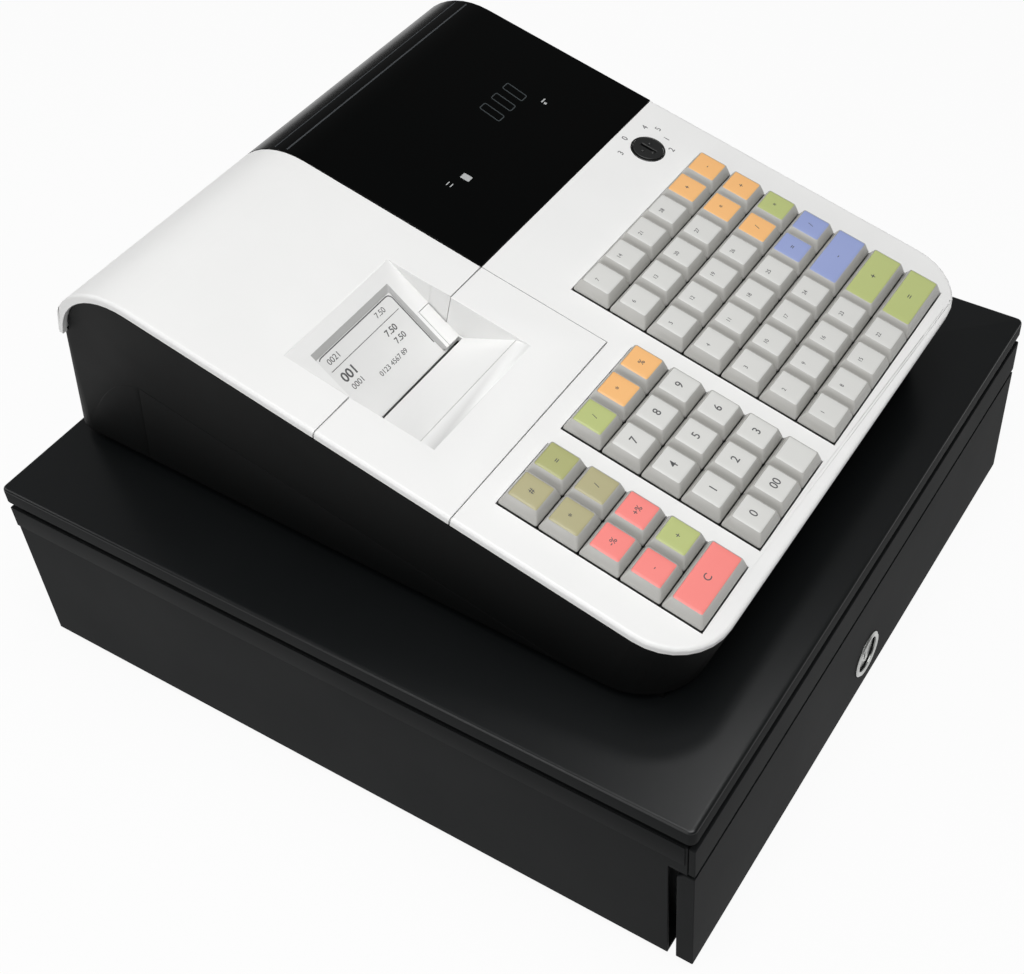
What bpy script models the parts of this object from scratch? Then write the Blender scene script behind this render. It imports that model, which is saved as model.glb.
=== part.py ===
"""Ticket register standing on its cash drawer, as separate pieces at real size.

X runs to the clerk's right, Y to the back and Z up. The middle of the cabinet's foot plane is zero.
The register's sloping top has its own frame: x, v up the slope from the front edge, w square to it.
"""

import math

import bmesh
import bpy
from mathutils import Matrix, Vector

# Fits, in metres like every length here
CLEARANCE = 0.0003          # gap between two pieces that touch
OVERRUN = 0.003             # how far a cutter runs past the face that it cuts
WELD = 0.00001              # points closer than this are one point

# The register's sloping top
DECK_ANGLE = math.radians(14.25)
DECK_FRONT_SETBACK = 0.01855     # front edge of the slope behind the drawer front
DECK_FRONT_RISE = 0.0431         # front edge of the slope above the cabinet lid
FRONT_CORNER_RADIUS = 0.028
REAR_CORNER_RADIUS = 0.003
NOSE_RADIUS = 0.0385
NOSE_SKIRT = 0.0020              # straight part of the top shell below the nose
SKIN = 0.0025                    # wall of the moulded tiles
RIM_DEPTH = 0.004                # height of the white edge over the black case
SEAM = 0.0004                    # gap between two tiles
CORNER_STEPS = 8
NOSE_STEPS = 12

# Keys
KEY_PITCH = 0.0186
KEY_GAP = 0.0006
KEY_TRAVEL = 0.0035
KEY_RISE = 0.0060                # top of a key above the slope
KEY_SHOULDER = 0.0012            # where the slanting skirt starts
KEY_ROOT = 0.0050                # bottom of a key below the slope
LABEL_SIDE_INSET = 0.0019
LABEL_FRONT_INSET = 0.0023
LABEL_BACK_INSET = 0.0018
BLOCK_FRONT = 0.0081             # front edge of all three blocks
LEFT_MARGIN = 0.0175             # from the left edge to the function block
RIGHT_MARGIN = 0.0190            # from the department block to the right edge
NUMERIC_SPACING = 0.0112
FUNCTION_SPACING = 0.0099
WEB_HEIGHT = 0.0015
WEB_WIDTH = 0.0060
WELL_DEPTH = KEY_ROOT + KEY_TRAVEL
WELL_WALL = 0.0012
DEPARTMENT_COLUMNS, DEPARTMENT_ROWS = 6, 7
NUMERIC_COLUMNS, NUMERIC_ROWS = 3, 5
FUNCTION_COLUMNS, FUNCTION_ROWS = 2, 5

KEY_COLUMNS = FUNCTION_COLUMNS + NUMERIC_COLUMNS + DEPARTMENT_COLUMNS
DECK_HALF_WIDTH = (LEFT_MARGIN + KEY_COLUMNS * KEY_PITCH + FUNCTION_SPACING + NUMERIC_SPACING
                   + RIGHT_MARGIN) / 2
DEPARTMENT_LEFT = DECK_HALF_WIDTH - RIGHT_MARGIN - DEPARTMENT_COLUMNS * KEY_PITCH
NUMERIC_LEFT = DEPARTMENT_LEFT - NUMERIC_SPACING - NUMERIC_COLUMNS * KEY_PITCH
FUNCTION_LEFT = NUMERIC_LEFT - FUNCTION_SPACING - FUNCTION_COLUMNS * KEY_PITCH
DEPARTMENT_BACK = BLOCK_FRONT + DEPARTMENT_ROWS * KEY_PITCH
NUMERIC_BACK = BLOCK_FRONT + NUMERIC_ROWS * KEY_PITCH

# Where the top is split into tiles
COVER_MARGIN = 0.0096            # numeric block to the printer cover
SPLIT_MARGIN = 0.0153            # printer cover to the department block
LABEL_BAND = 0.0369              # department block to the display window
WINDOW_LENGTH = 0.0948           # flat part of the display window
COVER_SEAM = NUMERIC_BACK + COVER_MARGIN
WINDOW_SEAM = DEPARTMENT_BACK + LABEL_BAND
TILE_SPLIT = DEPARTMENT_LEFT - SPLIT_MARGIN
NOSE_START = WINDOW_SEAM + WINDOW_LENGTH
DECK_END = NOSE_START + NOSE_RADIUS
SKIRT_FOOT = NOSE_RADIUS + NOSE_SKIRT

# Receipt recess in the two covers
RECESS_MARGIN = 0.0231           # from the left edge to the recess
RECESS_WIDTH = 0.0700
RECESS_DEPTH = 0.0192
RECESS_REACH = 0.0328            # back edge behind the window seam
SLOT_OFFSET = 0.0072             # slot's rear edge in front of the window seam
SLOT_WIDTH = 0.0020
SLOT_INSET = 0.0005
CREASE_OFFSET = 0.0308           # crease of the ramp behind the cover's front seam
CREASE_DEPTH = 0.0020
RAMP_TOE = 0.0075                # from the crease to where the ramp meets the top
TUB_WALL = 0.0030
TONGUE_INSET = 0.0070            # strip of printer cover right of the tongue
NOTCH_REACH = 0.0098             # how far that strip reaches behind the window seam
POCKET_SIDE = 0.0090             # pocket's left edge from the recess's left edge
POCKET_WIDTH = 0.0520
POCKET_BACK = 0.0067             # pocket's top edge in front of the recess's back edge
POCKET_DEPTH = 0.0021
STRIP_THICKNESS = 0.0004
STRIP_SIDE_GAP = 0.0008
STRIP_REACH = 0.0010             # how far the strip reaches into the slot
RECESS_LEFT = RECESS_MARGIN - DECK_HALF_WIDTH
RECESS_RIGHT = RECESS_LEFT + RECESS_WIDTH
RECESS_BACK = WINDOW_SEAM + RECESS_REACH
SLOT_REAR = WINDOW_SEAM - SLOT_OFFSET
SLOT_FRONT = SLOT_REAR - SLOT_WIDTH
CREASE = COVER_SEAM + CREASE_OFFSET
RAMP_END = CREASE - RAMP_TOE
TONGUE_RIGHT = RECESS_RIGHT - TONGUE_INSET
NOTCH_BACK = WINDOW_SEAM + NOTCH_REACH

# Lower case
CASE_WALL = 0.0025
CASE_FLOOR = 0.0025
CASE_DRAFT_SHARE = 0.094         # how far front and sides draw in, per unit of depth
CASE_LEAN_SHARE = 0.0874         # how far the rear wall leans out, per unit of depth
CASE_CORNER_SHARE = 0.12         # how far the rear corners' radius grows, per unit of depth
CASE_FOOT_HEIGHT = 0.0050
CASE_FOOT_SIZE = 0.0140
CASE_FOOT_INSET = 0.0085
CASE_FOOT_REAR_INSET = 0.0020
CASE_PRISM_DEPTH = 0.1450        # long enough to pass the floor everywhere

# Cabinet
CABINET_HALF_WIDTH = 0.1650
CABINET_HEIGHT = 0.1050
CABINET_REAR_MARGIN = 0.0007     # lid's rear edge behind the register
LID_OVERHANG = 0.0015
LID_LIP = 0.0062
LID_SHEET = 0.0015
LID_EDGE_RADIUS = 0.0045
LID_EDGE_STEPS = 3
GROOVE_HEIGHT = 0.0070
GROOVE_DEPTH = 0.0018
SHELL_SHEET = 0.0015
SHELL_REAR_INSET = 0.0010
SHELL_BOTTOM = 0.0050
HEADER_THICKNESS = 0.0030
HEADER_GAP = 0.0018              # between drawer front and header
NOTCH_GAP = 0.0009               # above the drawer front, under the shell's side
FOOT_RADIUS = 0.0060
FOOT_SIDE_INSET = 0.0120
FOOT_END_INSET = 0.0265
FOOT_SEGMENTS = 20

# Drawer
PANEL_THICKNESS = 0.0080
PANEL_BOTTOM = 0.0055
PANEL_TOP = 0.0715
PANEL_BEVEL = 0.0034
FINGER_GAP = 0.0038              # between drawer front and cabinet side
BOX_BOTTOM = 0.0090
BOX_TOP = 0.0620
BOX_SHEET = 0.0015
BOX_REAR_SPACE = 0.0240          # room for the latch behind the drawer
RAIL_WIDTH = 0.0072
RAIL_HEIGHT = 0.0040
RAIL_LEVEL = 0.0360
RUNNER_WIDTH = 0.0129
RUNNER_FLANGE = 0.0020
RUNNER_WEB = 0.0035
RUNNER_FRONT_INSET = 0.0180

# Till tray and its clips
TRAY_SIDE_GAP = 0.0006
TRAY_FRONT_SPACE = 0.0070        # room for the lock's cam
TRAY_HEIGHT = 0.0460
TRAY_WALL = 0.0020
TRAY_FLOOR = 0.0020
COIN_CUPS = 5
CUP_LENGTH = 0.0900
NOTE_BAYS = 3
CLIP_WIDTH = 0.0140
CLIP_THICKNESS = 0.0020
CLIP_REACH = 0.0900
CLIP_BARREL_RADIUS = 0.0030
CLIP_PIN_RADIUS = 0.0014
CLIP_LEVEL = 0.0390              # pivot above the tray's bottom
CLIP_TIP_LEVEL = 0.0120
CLIP_EAR = 0.0030
CLIP_EAR_HEIGHT = 0.0060
CLIP_PAD = 0.0080
CLIP_SEGMENTS = 12

# Locks and latch
LOCK_RADIUS = 0.0085
LOCK_HEIGHT = 0.0275
LOCK_RECESS = 0.0006
LOCK_BEHIND = 0.0015             # barrel behind the drawer box's front wall
CAM_THICKNESS = 0.0015
CAM_LENGTH = 0.0150
CAM_WIDTH = 0.0060
KEYWAY_WIDTH = 0.0016
KEYWAY_LENGTH = 0.0080
KEYWAY_DEPTH = 0.0030
LOCK_SEGMENTS = 24
MODE_LOCK_RADIUS = 0.0073
MODE_LOCK_INSET = 0.0312         # lock's centre from the right edge
MODE_LOCK_OFFSET = 0.0201        # lock's centre behind the department block
MODE_LOCK_PROUD = 0.0008
MODE_LOCK_LENGTH = 0.0210
LATCH_PIN_RADIUS = 0.0020
LATCH_PIN_INSET = 0.0100         # pin in front of the shell's rear wall
LATCH_LEVEL = 0.0180
LATCH_THICKNESS = 0.0030
LATCH_LENGTH = 0.0300
LATCH_WIDTH = 0.0080
LATCH_HOOK = 0.0060
LATCH_X = 0.0
SOLENOID_LENGTH = 0.0300
SOLENOID_WIDTH = 0.0140
SOLENOID_HEIGHT = 0.0180
SOLENOID_GAP = 0.0006

# Printer and paper
FRAME_HALF_WIDTH = 0.0310
FRAME_PLATE = 0.0020
FRAME_FRONT = 0.0120             # frame in front of the slot
FRAME_REAR_MARGIN = 0.0150       # frame behind the roll's axis
FRAME_TOP_GAP = 0.0020           # frame under the covers' tub
FRAME_DEPTH = 0.0900
PLATEN_RADIUS = 0.0055
PLATEN_HALF_WIDTH = 0.0290
PLATEN_SHAFT_RADIUS = 0.0025
PLATEN_OFFSET = 0.0110           # platen behind the slot's rear edge
PLATEN_DROP = 0.0100             # platen's axis below the frame's top
HEAD_BAR_LENGTH = 0.0050
BRIDGE_THICKNESS = 0.0030
BRIDGE_GAP = 0.0015
ROLL_RADIUS = 0.0200
ROLL_HALF_WIDTH = 0.0285
SPINDLE_RADIUS = 0.0040
ROLL_OFFSET = 0.0650             # roll's axis behind the slot's rear edge
ROLL_DROP = 0.0240               # roll's axis below the frame's top
ROLL_SEGMENTS = 28
SHAFT_SEGMENTS = 16

# Boards, displays, transformer and gland
KEY_PLATE_THICKNESS = 0.0016
SPACER_RADIUS = 0.0030
SPACER_LENGTH = 0.0060
SPACER_INSET = 0.0160
BOARD_THICKNESS = 0.0016
BOARD_INSET = 0.0080
OPERATOR_DISPLAY_MARGIN = 0.0251 # from the right edge, like the next two
OPERATOR_DISPLAY_WIDTH = 0.0560
OPERATOR_DISPLAY_OFFSET = 0.0370
OPERATOR_DISPLAY_LENGTH = 0.0240
DISPLAY_DEPTH = 0.0100
CUSTOMER_DISPLAY_MARGIN = 0.0311
CUSTOMER_DISPLAY_WIDTH = 0.0800
CUSTOMER_DISPLAY_HEIGHT = 0.0150
TRANSFORMER_MARGIN = 0.0341
TRANSFORMER_WIDTH = 0.0520
TRANSFORMER_LENGTH = 0.0420
TRANSFORMER_HEIGHT = 0.0380
TRANSFORMER_REAR_SPACE = 0.0500
GLAND_MARGIN = 0.0411            # from the left edge
GLAND_DEPTH = 0.0850             # gland below the top, along w
GLAND_RADIUS = 0.0050
GLAND_FLANGE_RADIUS = 0.0080
GLAND_FLANGE = 0.0015
GLAND_BORE_RADIUS = 0.0032
GLAND_SEGMENTS = 20

# The cabinet is as deep as the register that stands on it
DECK_AXIS = Matrix.Rotation(DECK_ANGLE, 4, "X")
CASE_BASE_LEVEL = CABINET_HEIGHT + CASE_FOOT_HEIGHT
REAR_WALL_ANGLE = DECK_ANGLE + math.atan(CASE_LEAN_SHARE)
SKIRT_FOOT_POINT = DECK_AXIS @ Vector((0.0, DECK_END, -SKIRT_FOOT))
REAR_WALL_DROP = DECK_FRONT_RISE + SKIRT_FOOT_POINT.z
CABINET_DEPTH = (DECK_FRONT_SETBACK + SKIRT_FOOT_POINT.y + REAR_WALL_DROP * math.tan(REAR_WALL_ANGLE)
                 + CABINET_REAR_MARGIN)
FRONT = -CABINET_DEPTH / 2
REAR = CABINET_DEPTH / 2
DECK_ORIGIN = Vector((0.0, FRONT + DECK_FRONT_SETBACK, CABINET_HEIGHT + DECK_FRONT_RISE))
DECK_FRAME = Matrix.Translation(DECK_ORIGIN) @ DECK_AXIS

# Turns an outline's first and second directions to Y and Z, and its extrusion to X
SIDE_ON = Matrix(((0, 0, 1, 0), (1, 0, 0, 0), (0, 1, 0, 0), (0, 0, 0, 1)))
FLAT = Matrix.Identity(4)

for old in list(bpy.data.objects):
    bpy.data.objects.remove(old, do_unlink=True)

PARTS = bpy.data.collections.new("ticket_register")
CUTTERS = bpy.data.collections.new("cutters")
for group in (PARTS, CUTTERS):
    bpy.context.scene.collection.children.link(group)

DECK = bpy.data.objects.new("deck_frame", None)
DECK.matrix_world = DECK_FRAME
bpy.context.scene.collection.objects.link(DECK)

COLOURS = {
    "cabinet_black": ((0.026, 0.028, 0.030), 0.45, 0.0),
    "steel": ((0.55, 0.56, 0.57), 0.35, 0.9),
    "case_black": ((0.018, 0.019, 0.020), 0.40, 0.0),
    "case_white": ((0.86, 0.86, 0.85), 0.40, 0.0),
    "window_black": ((0.010, 0.010, 0.012), 0.08, 0.0),
    "rubber": ((0.030, 0.030, 0.030), 0.80, 0.0),
    "tray_grey": ((0.10, 0.10, 0.11), 0.60, 0.0),
    "lock_black": ((0.030, 0.030, 0.030), 0.30, 0.4),
    "paper": ((0.82, 0.82, 0.80), 0.85, 0.0),
    "board_green": ((0.05, 0.22, 0.10), 0.50, 0.0),
    "display_glass": ((0.05, 0.09, 0.09), 0.10, 0.0),
    "key_grey": ((0.47, 0.47, 0.46), 0.45, 0.0),
    "key_orange": ((0.86, 0.49, 0.20), 0.45, 0.0),
    "key_green": ((0.46, 0.52, 0.21), 0.45, 0.0),
    "key_blue": ((0.29, 0.36, 0.62), 0.45, 0.0),
    "key_khaki": ((0.42, 0.40, 0.24), 0.45, 0.0),
    "key_red": ((0.86, 0.24, 0.22), 0.45, 0.0),
}


def make_materials():
    """One Principled material for each finish."""
    made = {}
    for name, (colour, roughness, metallic) in COLOURS.items():
        surface = bpy.data.materials.new(name)
        surface.use_nodes = True
        shader = surface.node_tree.nodes["Principled BSDF"]
        shader.inputs["Base Color"].default_value = (*colour, 1.0)
        shader.inputs["Roughness"].default_value = roughness
        shader.inputs["Metallic"].default_value = metallic
        made[name] = surface
    return made


MATERIALS = make_materials()


def add_piece(name, mesh, finish, parent=None, origin=(0.0, 0.0, 0.0), group=PARTS):
    """An object for a mesh that is given in its parent's frame, with its own origin."""
    origin = Vector(origin)
    mesh.transform(Matrix.Translation(-origin))
    piece = bpy.data.objects.new(name, mesh)
    piece.parent = parent
    piece.location = origin
    group.objects.link(piece)
    if finish:
        mesh.materials.clear()
        own = MATERIALS[finish].copy()
        own.name = name
        mesh.materials.append(own)
    return piece


def box_mesh(low, high):
    """A box between two opposite corners."""
    low, high = Vector(low), Vector(high)
    shape = bmesh.new()
    bmesh.ops.create_cube(shape, size=1.0)
    bmesh.ops.scale(shape, vec=high - low, verts=shape.verts)
    bmesh.ops.translate(shape, vec=(low + high) / 2, verts=shape.verts)
    return to_mesh(shape)


def rod_mesh(start, end, radius, segments, end_radius=None):
    """A round bar from start to end; with end_radius it tapers."""
    start, end = Vector(start), Vector(end)
    shape = bmesh.new()
    bmesh.ops.create_cone(shape, cap_ends=True, segments=segments, radius1=radius,
                          radius2=end_radius or radius, depth=(end - start).length)
    turn = Vector((0, 0, 1)).rotation_difference(end - start).to_matrix().to_4x4()
    shape.transform(Matrix.Translation((start + end) / 2) @ turn)
    return to_mesh(shape)


def to_mesh(shape):
    """Writes a bmesh to a new mesh and frees it."""
    mesh = bpy.data.meshes.new("shape")
    shape.to_mesh(mesh)
    shape.free()
    return mesh


def eased_box_mesh(low, high, radius, steps):
    """A box whose edges are rounded, except those of its bottom face."""
    shape = bmesh.new()
    shape.from_mesh(box_mesh(low, high))
    edges = [edge for edge in shape.edges if max(point.co.z for point in edge.verts) > low[2] + WELD]
    bmesh.ops.bevel(shape, geom=edges, offset=radius, segments=steps, profile=0.5, affect="EDGES")
    return to_mesh(shape)


def outline_mesh(points, low, high, turn=FLAT):
    """A closed outline, filled and extruded from low to high along its own third direction."""
    curve = bpy.data.curves.new("outline", "CURVE")
    curve.dimensions = "2D"
    curve.fill_mode = "BOTH"
    curve.extrude = (high - low) / 2
    spline = curve.splines.new("POLY")
    spline.points.add(len(points) - 1)
    for point, (along, across) in zip(spline.points, points):
        point.co = (along, across, 0.0, 1.0)
    spline.use_cyclic_u = True
    guide = bpy.data.objects.new("outline", curve)
    CUTTERS.objects.link(guide)
    mesh = evaluated_mesh(guide)
    bpy.data.curves.remove(curve)
    shape = bmesh.new()
    shape.from_mesh(mesh)
    bmesh.ops.remove_doubles(shape, verts=shape.verts, dist=WELD)
    bmesh.ops.translate(shape, vec=(0.0, 0.0, (low + high) / 2), verts=shape.verts)
    shape.transform(turn)
    bmesh.ops.recalc_face_normals(shape, faces=shape.faces)
    shape.to_mesh(mesh)
    shape.free()
    return mesh


def evaluated_mesh(piece):
    """The finished mesh of an object in its own frame; the object is removed."""
    bpy.context.view_layer.update()
    graph = bpy.context.evaluated_depsgraph_get()
    mesh = bpy.data.meshes.new_from_object(piece.evaluated_get(graph))
    bpy.data.objects.remove(piece, do_unlink=True)
    return mesh


def combine(piece, mesh, operation, parent=None):
    """Adds a Boolean modifier whose other shape is kept with the cutters."""
    tool = add_piece(piece.name + "_tool", mesh, None, parent, group=CUTTERS)
    tool.hide_render = True
    tool.display_type = "WIRE"
    change = piece.modifiers.new(operation.lower(), "BOOLEAN")
    change.operation = operation
    change.object = tool
    change.solver = "EXACT"
    return piece


def cut(piece, mesh, parent=None):
    """Takes a shape away from a piece."""
    return combine(piece, mesh, "DIFFERENCE", parent)


def join(piece, mesh, parent=None):
    """Adds a shape to a piece."""
    return combine(piece, mesh, "UNION", parent)


def keep(piece, mesh, parent=None):
    """Keeps only what lies inside a shape."""
    return combine(piece, mesh, "INTERSECT", parent)


def arc(centre, radius, start, end, steps):
    """Points on an arc from one angle to another, in degrees."""
    points = []
    for step in range(steps + 1):
        angle = math.radians(start + (end - start) * step / steps)
        points.append((centre[0] + radius * math.cos(angle), centre[1] + radius * math.sin(angle)))
    return points


def plan_outline(inset):
    """The register seen square to its slope, moved in by inset."""
    side = DECK_HALF_WIDTH - inset
    front, back = inset, DECK_END - inset
    near, far = FRONT_CORNER_RADIUS - inset, REAR_CORNER_RADIUS - inset
    points = arc((-side + near, front + near), near, 180, 270, CORNER_STEPS)
    points += arc((side - near, front + near), near, 270, 360, CORNER_STEPS)
    points += arc((side - far, back - far), far, 0, 90, CORNER_STEPS)
    points += arc((-side + far, back - far), far, 90, 180, CORNER_STEPS)
    return points


def nose_line(inset, foot):
    """Side line of the top from the nose's start to the skirt's foot, moved in by inset."""
    line = arc((NOSE_START, -NOSE_RADIUS), NOSE_RADIUS - inset, 90, 0, NOSE_STEPS)
    return line + [(DECK_END - inset, -foot)]


def top_band(outer, inner, front, foot):
    """The layer between two depths under the top's side line, over the full width."""
    outline = [(front, -outer)] + nose_line(outer, foot) + nose_line(inner, foot)[::-1] + [(front, -inner)]
    return outline_mesh(outline, -DECK_HALF_WIDTH - OVERRUN, DECK_HALF_WIDTH + OVERRUN, SIDE_ON)


def top_shell_mesh():
    """The whole moulded top, with its rim and skirt, before it is split into tiles."""
    shell = add_piece("top_shell", top_band(0.0, RIM_DEPTH, -OVERRUN, SKIRT_FOOT), None, DECK, group=CUTTERS)
    keep(shell, outline_mesh(plan_outline(0.0), -SKIRT_FOOT - OVERRUN, OVERRUN), DECK)
    hollow = add_piece("top_hollow", top_band(SKIN, RIM_DEPTH + OVERRUN, -OVERRUN, SKIRT_FOOT + OVERRUN),
                       None, DECK, group=CUTTERS)
    keep(hollow, outline_mesh(plan_outline(SKIN), -SKIRT_FOOT - 2 * OVERRUN, OVERRUN), DECK)
    cut(shell, evaluated_mesh(hollow), DECK)
    return evaluated_mesh(shell)


TOP_SHELL = top_shell_mesh()


def deck_box(left, right, front, back, low, high):
    """A box in the slope's frame."""
    return box_mesh((left, front, low), (right, back, high))


def tile(name, finish, outline, blank=TOP_SHELL):
    """One tile of the top, inside an outline seen square to the slope."""
    piece = add_piece(name, blank.copy(), finish, DECK)
    return keep(piece, outline_mesh(outline, -SKIRT_FOOT - OVERRUN, OVERRUN), DECK)


def past(value):
    """An edge that lies outside the top, on the same side as value."""
    return math.copysign(abs(value) + OVERRUN, value)


# Upper case with the three key wells and the mode lock's hole

BLOCKS = {
    "department": (DEPARTMENT_LEFT, DEPARTMENT_COLUMNS, DEPARTMENT_ROWS),
    "numeric": (NUMERIC_LEFT, NUMERIC_COLUMNS, NUMERIC_ROWS),
    "function": (FUNCTION_LEFT, FUNCTION_COLUMNS, FUNCTION_ROWS),
}


def block_edges(block):
    """Left, right, front and back of a key block."""
    left, columns, rows = BLOCKS[block]
    return left, left + columns * KEY_PITCH, BLOCK_FRONT, BLOCK_FRONT + rows * KEY_PITCH


def make_upper_case():
    """White tile that carries the keys; its left part stops at the printer cover."""
    side, split = past(DECK_HALF_WIDTH), TILE_SPLIT + SEAM / 2
    cover, window = COVER_SEAM - SEAM / 2, WINDOW_SEAM - SEAM / 2
    outline = [(-side, -OVERRUN), (side, -OVERRUN), (side, window), (split, window), (split, cover),
               (-side, cover)]
    case = tile("upper_case", "case_white", outline)
    for block in BLOCKS:
        left, right, front, back = block_edges(block)
        reach = CLEARANCE + WELL_WALL
        join(case, deck_box(left - reach, right + reach, front - reach, back + reach,
                            -WELL_DEPTH, -SKIN / 2), DECK)
    for block in BLOCKS:
        left, right, front, back = block_edges(block)
        cut(case, deck_box(left - CLEARANCE, right + CLEARANCE, front - CLEARANCE, back + CLEARANCE,
                           -WELL_DEPTH - OVERRUN, OVERRUN), DECK)
    centre = (DECK_HALF_WIDTH - MODE_LOCK_INSET, DEPARTMENT_BACK + MODE_LOCK_OFFSET)
    cut(case, rod_mesh((*centre, -SKIN - OVERRUN), (*centre, OVERRUN),
                       MODE_LOCK_RADIUS + CLEARANCE, LOCK_SEGMENTS), DECK)


# Keys: single keycaps, double keycaps, and banks whose caps share a web under the top


def keycap_mesh(block, column, row, span=1):
    """A keycap: straight root, then a skirt that slants to the label face. Row 0 is the front."""
    left = BLOCKS[block][0] + column * KEY_PITCH + KEY_GAP / 2
    right = left + span * KEY_PITCH - KEY_GAP
    front = BLOCK_FRONT + row * KEY_PITCH + KEY_GAP / 2
    back = front + KEY_PITCH - KEY_GAP
    shape = bmesh.new()
    shape.from_mesh(deck_box(left, right, front, back, -KEY_ROOT, KEY_RISE))
    bmesh.ops.bisect_plane(shape, geom=shape.verts[:] + shape.edges[:] + shape.faces[:],
                           plane_co=(0.0, 0.0, KEY_SHOULDER), plane_no=(0.0, 0.0, 1.0))
    middle = (left + right) / 2
    for point in shape.verts:
        if point.co.z > KEY_SHOULDER + WELD:
            point.co.x += math.copysign(LABEL_SIDE_INSET, middle - point.co.x)
            is_front = point.co.y < (front + back) / 2
            point.co.y += LABEL_FRONT_INSET if is_front else -LABEL_BACK_INSET
    return to_mesh(shape)


def cap_centre(block, column, row):
    """Middle of one key place in the slope's frame."""
    left = BLOCKS[block][0]
    return Vector((left + (column + 0.5) * KEY_PITCH, BLOCK_FRONT + (row + 0.5) * KEY_PITCH, 0.0))


def merged(meshes):
    """Several closed shapes as one mesh."""
    shape = bmesh.new()
    for mesh in meshes:
        shape.from_mesh(mesh)
    return to_mesh(shape)


def make_key(name, finish, block, column, row, span=1):
    """One keycap that moves by itself."""
    middle = cap_centre(block, column + (span - 1) / 2, row)
    add_piece(name, keycap_mesh(block, column, row, span), finish, DECK, middle)


def make_bank(name, finish, block, columns, rows):
    """Keycaps that are moulded on one web."""
    caps = [keycap_mesh(block, column, row) for column in columns for row in rows]
    first = cap_centre(block, columns[0], rows[0])
    last = cap_centre(block, columns[-1], rows[-1])
    bank = add_piece(name, merged(caps), finish, DECK, (first + last) / 2)
    half = WEB_WIDTH / 2
    join(bank, deck_box(first.x - half, last.x + half, first.y - half, last.y + half,
                        -KEY_ROOT + WEB_HEIGHT, -KEY_ROOT + 2 * WEB_HEIGHT), DECK)


def make_keys():
    """All 63 places of the three blocks."""
    finishes = ["key_grey", "key_grey", "key_grey", "key_grey", "key_grey", "key_orange", "key_orange"]
    for row, finish in enumerate(finishes):
        short = row < 3
        columns = list(range(DEPARTMENT_COLUMNS - 2 if short else DEPARTMENT_COLUMNS))
        make_bank("department_row_%d" % (row + 1), finish, "department", columns, [row])
    doubles = {"total_key": "key_green", "subtotal_key": "key_green", "card_key": "key_blue"}
    for row, (name, finish) in enumerate(doubles.items()):
        make_key(name, finish, "department", DEPARTMENT_COLUMNS - 2, row, 2)
    names = [["key_0", "key_00", "key_blank"], ["key_1", "key_2", "key_3"],
             ["key_4", "key_5", "key_6"], ["key_7", "key_8", "key_9"]]
    for row, line in enumerate(names):
        for column, name in enumerate(line):
            make_key(name, "key_grey", "numeric", column, row)
    make_bank("numeric_back_row", "key_orange", "numeric", list(range(NUMERIC_COLUMNS)), [NUMERIC_ROWS - 1])
    make_key("clear_key", "key_red", "function", 0, 0, FUNCTION_COLUMNS)
    make_bank("function_front_bank", "key_red", "function", [0, 1], [1, 2])
    make_bank("function_rear_bank", "key_khaki", "function", [0, 1], [3, 4])


# Printer cover and roll cover around the receipt recess


def recess_void():
    """The open space of the recess: back slope, slot, ramp and its toe."""
    outline = [(RECESS_BACK, 0.0), (RECESS_BACK, OVERRUN), (RAMP_END, OVERRUN), (RAMP_END, 0.0),
               (CREASE, -CREASE_DEPTH), (SLOT_FRONT, -RECESS_DEPTH), (SLOT_REAR, -RECESS_DEPTH)]
    return outline_mesh(outline, RECESS_LEFT, RECESS_RIGHT, SIDE_ON)


def tub_mesh():
    """The moulded tub under the recess."""
    depth = RECESS_DEPTH + TUB_WALL
    outline = [(RECESS_BACK + TUB_WALL, -SKIN / 2), (RAMP_END - TUB_WALL, -SKIN / 2),
               (CREASE - TUB_WALL, -CREASE_DEPTH - TUB_WALL), (SLOT_FRONT - TUB_WALL, -depth),
               (SLOT_REAR + TUB_WALL, -depth)]
    return outline_mesh(outline, RECESS_LEFT - TUB_WALL, RECESS_RIGHT + TUB_WALL, SIDE_ON)


def slope_direction():
    """Unit vector up the back slope, from the slot to the recess's back edge."""
    return Vector((RECESS_BACK - SLOT_REAR, RECESS_DEPTH)).normalized()


def slope_layer(left, right, top, bottom, back_inset, front_reach):
    """A slab under the back slope, between two depths square to it."""
    along = slope_direction()
    down = Vector((along.y, -along.x))
    back = Vector((RECESS_BACK, 0.0)) - along * back_inset
    front = Vector((SLOT_REAR, -RECESS_DEPTH)) - along * front_reach
    outline = [back + down * top, back + down * bottom, front + down * bottom, front + down * top]
    return outline_mesh([tuple(point) for point in outline], left, right, SIDE_ON)


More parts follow.
